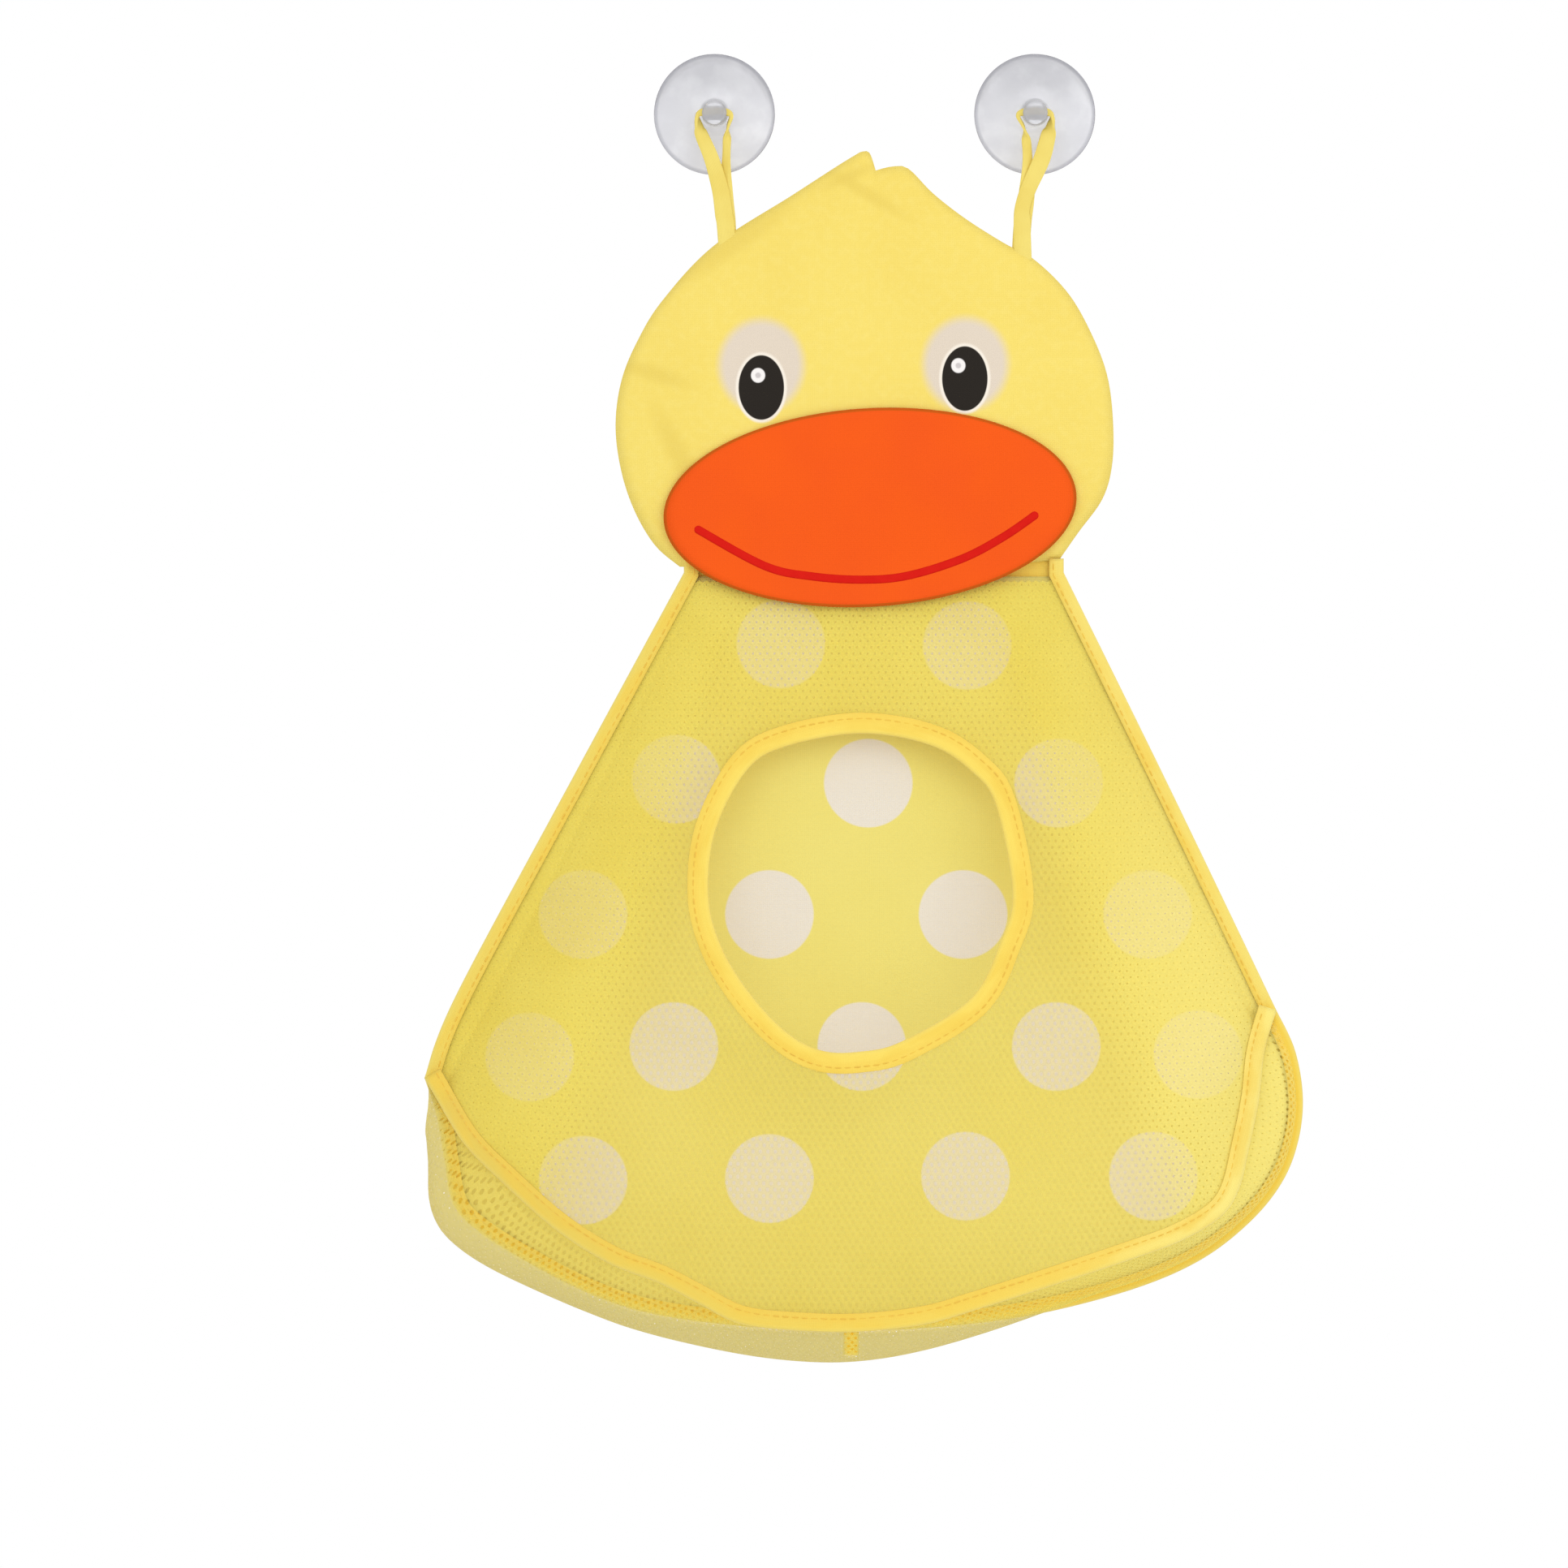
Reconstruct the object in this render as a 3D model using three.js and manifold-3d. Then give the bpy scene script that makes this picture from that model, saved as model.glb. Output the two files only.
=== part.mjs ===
import * as THREE from "three";
import { mergeVertices } from "three/addons/utils/BufferGeometryUtils.js";
import Module from "manifold-3d";

// Duck shaped bath toy bag, hung from two suction cups.
// Millimetres, +Z up, the front faces -Y, the wall is the plane y = 0.
// The origin is on the wall, halfway between the two cups.

// Suction cups, pressed on the wall
const CUP_SPACING = 114.3;
const CUP_RADIUS = 21.6;
const CUP_RIM_LAND = 2.4;
const CUP_RIM_THICKNESS = 1.1;
const CUP_CAVITY_DEPTH = 2.6;
const CUP_CROWN_THICKNESS = 3.4;
const KNOB_RADIUS = 4.4;
const KNOB_ROOT_FILLET = 1.5;
const KNOB_EDGE_ROUND = 1.2;
const KNOB_HOLE_RADIUS = 2.4;
const KNOB_HOLE_WALL = 3;

// Ribbon loops
const RIBBON_WIDTH = 6.3;
const RIBBON_THICKNESS = 0.6;
const RIBBON_LAYER_GAP = 0.3;
const RIBBON_BUNDLE = 3.1;
const RIBBON_DROP = 39.2;
const RIBBON_LEAN = 4.6;
const RIBBON_BEND_CLEARANCE = 0.45;
const RIBBON_END_LENGTH = 1.1;

// Cloth, net and the gaps between sewn layers
const CLOTH_THICKNESS = 0.5;
const LAYER_GAP = 0.3;

// Head
const HEAD_HALF_WIDTH = 88.6;
const HEAD_HEIGHT = 149.2;
const HEAD_CROWN = 4.5;

// Bill, an ellipse that hangs a little over the net
const BILL_HALF_WIDTH = 73.6;
const BILL_HALF_HEIGHT = 35.3;
const BILL_DROP = 126.7;
const BILL_SHIFT = 2.3;
const BILL_TILT_DEGREES = 3.5;
const BILL_EDGE_LIFT = 3.2;
const BILL_GAP = 0.6;

// Pocket, from the neck down
const BAG_SHIFT = -4;
const POCKET_HALF_WIDTH = 156.1;
const POCKET_HEIGHT = 271.9;
const POCKET_DEPTH = 57;
const NECK_GAP = 0.6;
const GUSSET_BELLY = 13;
const GUSSET_THICKNESS = 0.5;
const GUSSET_LEAST_DEPTH = 8;
const OPENING_WIDTH = 108;
const OPENING_HEIGHT = 111;
const OPENING_DROP = 113.7;
const OPENING_SHIFT = -1.2;

// Binding tape, a folded channel that holds the raw edges
const TAPE_WALL = 0.6;
const TAPE_CLEARANCE = 0.45;
const SIDE_TAPE_WIDTH = 5.2;
const BACK_TAPE_WIDTH = 5.2;
const FRONT_TAPE_WIDTH = 6.5;
const OPENING_TAPE_WIDTH = 7.4;
const TAPE_END_GAP = 5;
const CORNER_LENGTH = 15;
const NECK_TAPE_HEIGHT = 8;
const TAB_WIDTH = 5.6;
const TAB_HEIGHT = 8.4;
const TAB_SHIFT = -4.4;

// Net
const NET_CELL_WIDTH = 19;
const NET_CELL_HEIGHT = 17;
const NET_STRAND = 2.2;
const NET_ROW_SAG = 7;
const NET_SPREAD = 9;

// How finely round things are divided
const CUP_SEGMENTS = 32;
const HOLE_SEGMENTS = 16;
const EDGE_STEP = 7;
const LEAST_SIDES = 16;
const CURVE_STEPS = 4;
const LOOP_STEPS = 2;
const GUSSET_STEPS = 40;
const GUSSET_RIBS = 5;
const OVERRUN = 1;

// Outlines, as shares of the half width and of the height, measured down from the top
const HEAD_LEFT_SHARES = [
  [-0.739, 0.99], [-0.837, 0.94], [-0.919, 0.859], [-0.974, 0.762], [-0.997, 0.654],
  [-0.974, 0.547], [-0.909, 0.451], [-0.808, 0.354], [-0.603, 0.224], [-0.287, 0.103],
  [-0.094, 0.029], [-0.013, 0],
];
const HEAD_TUFT_SHARES = [[-0.013, 0], [0.023, 0.001], [0.049, 0.044]];
const HEAD_RIGHT_SHARES = [
  [0.049, 0.044], [0.111, 0.035], [0.179, 0.039], [0.28, 0.099], [0.41, 0.159],
  [0.564, 0.217], [0.687, 0.257], [0.824, 0.338], [0.919, 0.437], [0.98, 0.534],
  [1.003, 0.64], [1, 0.745], [0.961, 0.828], [0.863, 0.909], [0.788, 0.973],
];
const HEAD_NECK_SHARES = [[0.788, 0.973], [0.41, 0.992], [0.026, 1], [-0.371, 0.998], [-0.739, 0.99]];
const HEAD_CENTRE_SHARES = [0, 0.56];
const HEAD_RING_SHARES = [1, 0.9, 0.75, 0.5];
const PADDING_RING_SHARES = [0.92, 0.7];
const BILL_RING_SHARES = [1, 0.86, 0.68, 0.4];
const LEFT_SIDE_SHARES = [[-0.41, 0], [-0.665, 0.27], [-0.932, 0.556], [-1.002, 0.662]];
const RIGHT_SIDE_SHARES = [[0.457, 0], [0.697, 0.28], [0.942, 0.573]];
const BACK_EDGE_SHARES = [
  [-1.002, 0.662], [-0.975, 0.71], [-0.957, 0.77], [-0.938, 0.825], [-0.893, 0.857],
  [-0.784, 0.898], [-0.621, 0.946], [-0.466, 0.973], [-0.24, 0.989], [0, 0.993],
  [0.22, 0.986], [0.418, 0.969], [0.625, 0.937], [0.771, 0.9], [0.88, 0.852],
  [0.952, 0.802], [0.99, 0.75], [1.003, 0.69], [0.985, 0.626], [0.942, 0.573],
];
const FRONT_EDGE_SHARES = [
  [-1.002, 0.662], [-0.915, 0.743], [-0.821, 0.797], [-0.7, 0.857], [-0.579, 0.9],
  [-0.466, 0.925], [-0.38, 0.95], [-0.285, 0.977], [-0.165, 0.986], [-0.013, 0.988],
  [0.14, 0.978], [0.251, 0.96], [0.418, 0.93], [0.602, 0.896], [0.72, 0.872],
  [0.81, 0.842], [0.852, 0.808], [0.876, 0.755], [0.9, 0.69], [0.913, 0.63], [0.942, 0.573],
];

// Belly of the gusset: places along the pocket floor, then shares of its greatest reach
const GUSSET_BELLY_SHARES = [
  [0, 0.15], [0.05, 0.58], [0.13, 0.85], [0.25, 0.64], [0.44, 1], [0.64, 0.2], [1, 0.15],
];

// Opening, as shares of its half width and half height
const OPENING_EDGE_SHARES = [
  [1, 0], [0.89, 0.555], [0.74, 0.765], [0.46, 0.94], [0, 1.015], [-0.495, 0.93],
  [-0.75, 0.775], [-0.955, 0.385], [-0.998, -0.035], [-0.905, -0.365], [-0.71, -0.665],
  [-0.475, -0.9], [-0.25, -1.01], [0, -1.015], [0.27, -0.95], [0.725, -0.675], [0.92, -0.315],
];
const FLARE_SHARE = 0.12;
const FLARE_REACH_SHARE = 0.08;
const BULGE_EXPONENT = 3.5;
const CROWN_EXPONENT = 4;
const NET_OFFSET_SHARE = 0.25;

// Ribbon loop stations: shares of the lean, of the reach beside the knob, of the drop, of a
// layer's depth, of the width and of the thickness, then the direction of the width
const OUTER_LEG_SHARES = [
  [-0.5, 0, 0.7, 1, 0.95, 1, [1, 0]],
  [0.45, 0, 0.42, 1, 0.85, 1, [1, 0]],
  [0, 0.83, 0.2, 0.5, 0.75, 1.5, [1, 0]],
  [0, 1, 0.12, 0, 0.6, 1.8, [1, 1]],
];
const INNER_LEG_SHARES = [
  [0, -1.11, 0.14, -0.5, 0.55, 1.5, [0, 1]],
  [0, -1, 0.4, -1, 0.6, 1, [2, -1]],
  [-1, 0, 0.75, -1, 0.9, 1, [1, 0]],
];

// Stations in the knob's hole: shares of the reach beside the knob and of the knob's radius,
// then of the bundle's drop and of its thickness
const HOLE_SHARES = [
  [1.11, 0, 0.4, 0.5], [0, 1, 0, 0.85], [0, 0, 0, 1], [0, -1, 0, 0.85], [-1.11, 0, 0.4, 0.5],
];
const RIBBON_SECTION_SHARES = [
  [1, -0.6], [1, 0.6], [0.8, 1], [-0.8, 1], [-1, 0.6], [-1, -0.6], [-0.8, -1], [0.8, -1],
];

// Places worked out from the sizes above
const CUP_CROWN_Y = -(CUP_CAVITY_DEPTH + CUP_CROWN_THICKNESS);
const HANG_Y = CUP_CROWN_Y - KNOB_HOLE_WALL - KNOB_HOLE_RADIUS;
const KNOB_FRONT_Y = HANG_Y - KNOB_HOLE_RADIUS - KNOB_HOLE_WALL;
const BEND_Z = -RIBBON_DROP;
const SEAM_X = CUP_SPACING / 2 - RIBBON_LEAN;
const RIBBON_STACK = 2 * RIBBON_THICKNESS + RIBBON_LAYER_GAP;
const FRONT_LAYER_Y = HANG_Y - LAYER_GAP / 2;
const BACK_LAYER_Y = HANG_Y + LAYER_GAP / 2;
const SLOT_HALF = CLOTH_THICKNESS + LAYER_GAP / 2 + TAPE_CLEARANCE;
const TAPE_HALF = SLOT_HALF + TAPE_WALL;
const SHEET_INSET = TAPE_WALL + TAPE_CLEARANCE;

const wasm = await Module();
wasm.setup();

// Materials, with the colours of the cloth, the bill and the clear cups
const headCloth = new THREE.MeshStandardMaterial({ color: 0xf5de74, roughness: 0.85, metalness: 0 });
const dottedCloth = new THREE.MeshStandardMaterial({ color: 0xecde7d, roughness: 0.85, metalness: 0 });
const netYarn = new THREE.MeshStandardMaterial({ color: 0xeed869, roughness: 0.8, metalness: 0 });
const gussetYarn = new THREE.MeshStandardMaterial({ color: 0xeddb80, roughness: 0.8, metalness: 0 });
const tape = new THREE.MeshStandardMaterial({ color: 0xf3d358, roughness: 0.7, metalness: 0 });
const ribbon = new THREE.MeshStandardMaterial({ color: 0xf2dc7e, roughness: 0.55, metalness: 0 });
const billCloth = new THREE.MeshStandardMaterial({ color: 0xfa621c, roughness: 0.75, metalness: 0 });
const wadding = new THREE.MeshStandardMaterial({ color: 0xf4f2ea, roughness: 0.95, metalness: 0 });
const clearVinyl = new THREE.MeshStandardMaterial({
  color: 0xdfe1e2, roughness: 0.15, metalness: 0, transparent: true, opacity: 0.5,
});

// Closed bodies from points and faces, turned so that their faces point out
function closedBody(points, faces) {
  const geometry = new THREE.BufferGeometry();
  const flat = points.flatMap((point) => [point.x, point.y, point.z]);
  geometry.setAttribute("position", new THREE.Float32BufferAttribute(flat, 3));
  let volume = 0;
  for (const [a, b, c] of faces) {
    volume += points[a].dot(points[b].clone().cross(points[c]));
  }
  const turned = volume < 0 ? faces.map(([a, b, c]) => [a, c, b]) : faces;
  geometry.setIndex(turned.flat());
  return geometry;
}

// Rings of equally many points, joined into a tube that ends in caps or closes on itself
function loft(rings, closed, capShape) {
  const points = rings.flat();
  const sides = rings[0].length;
  const faces = [];
  const steps = closed ? rings.length : rings.length - 1;
  for (let i = 0; i < steps; i += 1) {
    const here = i * sides;
    const next = ((i + 1) % rings.length) * sides;
    for (let j = 0; j < sides; j += 1) {
      const k = (j + 1) % sides;
      faces.push([here + j, next + j, next + k], [here + j, next + k, here + k]);
    }
  }
  if (!closed) {
    const last = (rings.length - 1) * sides;
    const clockwise = THREE.ShapeUtils.isClockWise(capShape);
    for (const [a, b, c] of THREE.ShapeUtils.triangulateShape(capShape, [])) {
      const [p, q, r] = clockwise ? [a, c, b] : [a, b, c];
      faces.push([p, q, r], [last + p, last + r, last + q]);
    }
  }
  return closedBody(points, faces);
}

function toSolid(geometry) {
  const bare = geometry.clone();
  bare.deleteAttribute("normal");
  bare.deleteAttribute("uv");
  const merged = mergeVertices(bare);
  return new wasm.Manifold(new wasm.Mesh({
    numProp: 3,
    vertProperties: new Float32Array(merged.attributes.position.array),
    triVerts: new Uint32Array(merged.index.array),
  }));
}

function fromSolid(solid) {
  const result = solid.getMesh();
  const geometry = new THREE.BufferGeometry();
  geometry.setAttribute("position", new THREE.BufferAttribute(result.vertProperties, 3));
  geometry.setIndex(new THREE.BufferAttribute(result.triVerts, 1));
  return geometry;
}

// Flat outlines, in x and z
function resample(points, step) {
  const curve = new THREE.SplineCurve(points);
  const count = Math.max(2, Math.round(curve.getLength() / step));
  return curve.getSpacedPoints(count);
}

function isLeftTurning(points) {
  return !THREE.ShapeUtils.isClockWise(points);
}

// Moves a closed outline inwards by a distance, or an open one to its left
function inset(points, distance, closed) {
  const count = points.length;
  return points.map((point, i) => {
    const before = closed ? points[(i + count - 1) % count] : points[Math.max(0, i - 1)];
    const after = closed ? points[(i + 1) % count] : points[Math.min(count - 1, i + 1)];
    const arriving = point.clone().sub(before);
    const leaving = after.clone().sub(point);
    if (arriving.lengthSq() === 0) arriving.copy(leaving);
    if (leaving.lengthSq() === 0) leaving.copy(arriving);
    arriving.normalize();
    leaving.normalize();
    const normalIn = new THREE.Vector2(-arriving.y, arriving.x);
    const normalOut = new THREE.Vector2(-leaving.y, leaving.x);
    const sum = normalIn.clone().add(normalOut);
    return point.clone().add(sum.multiplyScalar(distance / (1 + normalIn.dot(normalOut))));
  });
}

// Drops a length from both ends of an open outline
function trimEnds(points, length) {
  const total = points.reduce((sum, point, i) => (i ? sum + point.distanceTo(points[i - 1]) : 0), 0);
  const kept = [];
  let run = 0;
  for (let i = 0; i < points.length; i += 1) {
    const previous = points[Math.max(0, i - 1)];
    const stretch = points[i].distanceTo(previous);
    for (const cut of [length, total - length]) {
      if (cut > run && cut < run + stretch) kept.push(previous.clone().lerp(points[i], (cut - run) / stretch));
    }
    run += stretch;
    if (run > length && run < total - length) kept.push(points[i]);
  }
  return kept;
}

function contains(outline, x, z) {
  let inside = false;
  outline.forEach((a, i) => {
    const b = outline[(i + 1) % outline.length];
    if (a.y > z !== b.y > z && x < a.x + ((z - a.y) / (b.y - a.y)) * (b.x - a.x)) inside = !inside;
  });
  return inside;
}

// A flat sheet of cloth, with holes, between two depths
function sheet(outline, holes, frontY, backY) {
  const shape = new THREE.Shape(outline);
  shape.holes = holes.map((hole) => new THREE.Path(hole));
  const geometry = new THREE.ExtrudeGeometry(shape, { depth: backY - frontY, bevelEnabled: false });
  geometry.rotateX(Math.PI / 2);
  geometry.translate(0, backY, 0);
  return mergeVertices(stripped(geometry));
}

function stripped(geometry) {
  geometry.deleteAttribute("normal");
  geometry.deleteAttribute("uv");
  return geometry;
}

// Head outline and the places that hang from it
function sharePoints(shares, halfWidth, height, top) {
  return shares.map(([across, down]) => new THREE.Vector2(
    BAG_SHIFT + across * halfWidth,
    top - down * height,
  ));
}

function headOutlineAt(top) {
  const runs = [HEAD_LEFT_SHARES, HEAD_TUFT_SHARES, HEAD_RIGHT_SHARES, HEAD_NECK_SHARES];
  const steps = [EDGE_STEP, EDGE_STEP / 3, EDGE_STEP, EDGE_STEP * 2];
  return runs.flatMap((shares, i) => {
    const points = sharePoints(shares, HEAD_HALF_WIDTH, HEAD_HEIGHT, top);
    return resample(points, steps[i]).slice(0, -1);
  }).reverse();
}

// Heights at which an upright line crosses a closed outline
function crossings(outline, x) {
  const heights = [];
  outline.forEach((a, i) => {
    const b = outline[(i + 1) % outline.length];
    if (a.x > x !== b.x > x) heights.push(a.y + ((x - a.x) / (b.x - a.x)) * (b.y - a.y));
  });
  return heights;
}

function upperEdge(outline, x) {
  return Math.max(...crossings(outline, x));
}

function lowerEdge(outline, x) {
  return Math.min(...crossings(outline, x));
}

function ribbonEdges(side) {
  return [-1, 0, 1].map((step) => side * SEAM_X + (step * RIBBON_WIDTH) / 2);
}

// The head hangs so that its edge just meets the shorter sewn ribbon end
const looseHead = headOutlineAt(0);
const highestSeam = Math.max(...[-1, 1].flatMap(ribbonEdges).map((x) => upperEdge(looseHead, x)));
const RIBBON_END_TOP = BEND_Z - RIBBON_STACK / 2 - RIBBON_BEND_CLEARANCE / 2;
const HEAD_TOP_Z = RIBBON_END_TOP - RIBBON_END_LENGTH - LAYER_GAP - highestSeam;
const NECK_Z = HEAD_TOP_Z - HEAD_HEIGHT - NECK_GAP;

const headOutline = headOutlineAt(HEAD_TOP_Z);
const headCentre = sharePoints([HEAD_CENTRE_SHARES], HEAD_HALF_WIDTH, HEAD_HEIGHT, HEAD_TOP_Z)[0];

// How far out a point is on the way from the head's centre to its edge
function headReach(x, z) {
  const away = new THREE.Vector2(x, z).sub(headCentre);
  let reach = 0;
  headOutline.forEach((a, i) => {
    const edge = headOutline[(i + 1) % headOutline.length].clone().sub(a);
    const start = a.clone().sub(headCentre);
    const across = away.cross(edge);
    if (across === 0) return;
    const along = start.cross(edge) / across;
    const onEdge = start.cross(away) / across;
    if (along > 0 && onEdge >= 0 && onEdge <= 1) reach = 1 / along;
  });
  return reach;
}

function headCrown(reach) {
  return HEAD_CROWN * (1 - Math.min(1, reach) ** CROWN_EXPONENT);
}

// A crowned sheet: the outline drawn in towards a centre, ring by ring
function crownedSheet(outline, centre, reachShares, frontAt, backAt) {
  const count = outline.length;
  const points = [];
  for (const depthAt of [frontAt, backAt]) {
    for (const reach of reachShares) {
      for (const edge of outline) {
        const place = centre.clone().lerp(edge, reach);
        points.push(new THREE.Vector3(place.x, depthAt(place.x, place.y, reach), place.y));
      }
    }
    points.push(new THREE.Vector3(centre.x, depthAt(centre.x, centre.y, 0), centre.y));
  }
  const faces = [];
  const half = reachShares.length * count + 1;
  for (const [base, back] of [[0, false], [half, true]]) {
    const add = (a, b, c) => faces.push(back ? [a, c, b] : [a, b, c]);
    for (let ring = 0; ring + 1 < reachShares.length; ring += 1) {
      for (let i = 0; i < count; i += 1) {
        const j = (i + 1) % count;
        const outer = base + ring * count;
        const inner = outer + count;
        add(outer + i, outer + j, inner + j);
        add(outer + i, inner + j, inner + i);
      }
    }
    const lastRing = base + (reachShares.length - 1) * count;
    for (let i = 0; i < count; i += 1) {
      add(lastRing + i, lastRing + ((i + 1) % count), base + half - 1);
    }
  }
  for (let i = 0; i < count; i += 1) {
    const j = (i + 1) % count;
    faces.push([i, half + i, half + j], [i, half + j, j]);
  }
  return closedBody(points, faces);
}

// Pocket outlines
const leftSide = resample(sharePoints(LEFT_SIDE_SHARES, POCKET_HALF_WIDTH, POCKET_HEIGHT, NECK_Z), 2 * EDGE_STEP);
const rightSide = resample(sharePoints(RIGHT_SIDE_SHARES, POCKET_HALF_WIDTH, POCKET_HEIGHT, NECK_Z), 2 * EDGE_STEP);
const backEdge = resample(sharePoints(BACK_EDGE_SHARES, POCKET_HALF_WIDTH, POCKET_HEIGHT, NECK_Z), EDGE_STEP);
const frontEdge = resample(sharePoints(FRONT_EDGE_SHARES, POCKET_HALF_WIDTH, POCKET_HEIGHT, NECK_Z), EDGE_STEP);

function panelOutline(bottom) {
  const sides = [...leftSide.slice(0, -1), ...bottom.slice(0, -1), ...[...rightSide].reverse()];
  return isLeftTurning(sides) ? sides : sides.reverse();
}

// How far the front net stands out from the back panel
const BAND_WIDTH = Math.max(SIDE_TAPE_WIDTH, FRONT_TAPE_WIDTH) + TAPE_CLEARANCE + SHEET_INSET;

function pocketBulge(x, z) {
  const down = Math.max(0, (NECK_Z - z) / POCKET_HEIGHT);
  const across = x - BAG_SHIFT;
  const side = across < 0 ? LEFT_SIDE_SHARES : RIGHT_SIDE_SHARES;
  const [neckShare] = side[0];
  const [cornerShare, cornerDownShare] = side[side.length - 1];
  const widening = Math.min(1, down / cornerDownShare);
  const pastCorner = Math.max(0, down - cornerDownShare);
  const flare = FLARE_SHARE * Math.min(1, pastCorner / FLARE_REACH_SHARE);
  const widthShare = Math.abs(THREE.MathUtils.lerp(neckShare, cornerShare, widening)) + flare;
  const slant = (Math.abs(cornerShare - neckShare) * POCKET_HALF_WIDTH) / (cornerDownShare * POCKET_HEIGHT);
  const halfWidth = POCKET_HALF_WIDTH * widthShare - BAND_WIDTH * Math.hypot(1, slant);
  const reach = Math.min(1, Math.abs(across) / halfWidth);
  return POCKET_DEPTH * down * (1 - reach ** BULGE_EXPONENT);
}

// Whether the front edge stands clear of the back panel's binding at a point
function standsClear(point) {
  return pocketBulge(point.x, point.y) > 2 * TAPE_HALF + 2 * LAYER_GAP;
}

// Binding tape: a channel section drawn along an edge, open on the sheet's side
function tapeSection(width) {
  return [
    [0, -TAPE_HALF], [width, -TAPE_HALF], [width, -SLOT_HALF], [TAPE_WALL, -SLOT_HALF],
    [TAPE_WALL, SLOT_HALF], [width, SLOT_HALF], [width, TAPE_HALF], [0, TAPE_HALF],
  ].map(([a, b]) => new THREE.Vector2(a, b));
}

// Places across an edge. Where the edge stands out with the net, its depth runs evenly from the
// edge to the far side of the net's plain band, which is bandWidth wide, or 0 for a flat edge.
function placesAcross(edge, distances, closed, bandWidth) {
  const inner = inset(edge, 1, closed);
  return edge.map((point, i) => {
    const inwards = inner[i].clone().sub(point);
    const far = point.clone().addScaledVector(inwards, bandWidth);
    return distances.map((distance) => {
      const share = bandWidth === 0 ? 0 : distance / bandWidth;
      const bulge = THREE.MathUtils.lerp(pocketBulge(point.x, point.y), pocketBulge(far.x, far.y), share);
      const place = point.clone().addScaledVector(inwards, distance);
      return new THREE.Vector3(place.x, bandWidth === 0 ? 0 : -bulge, place.y);
    });
  });
}

function tapeAlong(edge, width, closed, bandWidth, isKept = () => true) {
  const section = tapeSection(width);
  const rings = placesAcross(edge, section.map(({ x: a }) => a), closed, bandWidth)
    .map((ring) => ring.map((place, k) => place.setY(place.y + HANG_Y + section[k].y)))
    .filter((ring, i) => isKept(edge[i]));
  return loft(rings, closed, section);
}

function ellipse(centreX, centreZ, halfWidth, halfHeight, step) {
  const around = Math.PI * (halfWidth + halfHeight);
  const curve = new THREE.EllipseCurve(centreX, centreZ, halfWidth, halfHeight, 0, 2 * Math.PI, false, 0);
  return curve.getSpacedPoints(Math.max(LEAST_SIDES, Math.round(around / step))).slice(0, -1);
}

// Suction cup: a lens of clear vinyl with a knob that has a cross hole for the ribbon
function suctionCup() {
  const outline = new THREE.Path();
  outline.moveTo(0, KNOB_FRONT_Y);
  outline.lineTo(KNOB_RADIUS - KNOB_EDGE_ROUND, KNOB_FRONT_Y);
  outline.quadraticCurveTo(KNOB_RADIUS, KNOB_FRONT_Y, KNOB_RADIUS, KNOB_FRONT_Y + KNOB_EDGE_ROUND);
  outline.lineTo(KNOB_RADIUS, CUP_CROWN_Y - KNOB_ROOT_FILLET);
  outline.quadraticCurveTo(KNOB_RADIUS, CUP_CROWN_Y, KNOB_RADIUS + KNOB_ROOT_FILLET, CUP_CROWN_Y);
  outline.quadraticCurveTo(CUP_RADIUS / 2, CUP_CROWN_Y, CUP_RADIUS, -CUP_RIM_THICKNESS);
  outline.lineTo(CUP_RADIUS, 0);
  outline.lineTo(CUP_RADIUS - CUP_RIM_LAND, 0);
  outline.quadraticCurveTo(CUP_RADIUS / 2, -CUP_CAVITY_DEPTH, 0, -CUP_CAVITY_DEPTH);
  const profile = outline.getPoints(CURVE_STEPS);
  const body = toSolid(new THREE.LatheGeometry(profile, CUP_SEGMENTS));
  const drill = new THREE.CylinderGeometry(
    KNOB_HOLE_RADIUS, KNOB_HOLE_RADIUS, 2 * (KNOB_RADIUS + OVERRUN), HOLE_SEGMENTS,
  );
  drill.rotateZ(Math.PI / 2);
  drill.translate(0, HANG_Y, 0);
  return fromSolid(body.subtract(toSolid(drill)));
}

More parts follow.
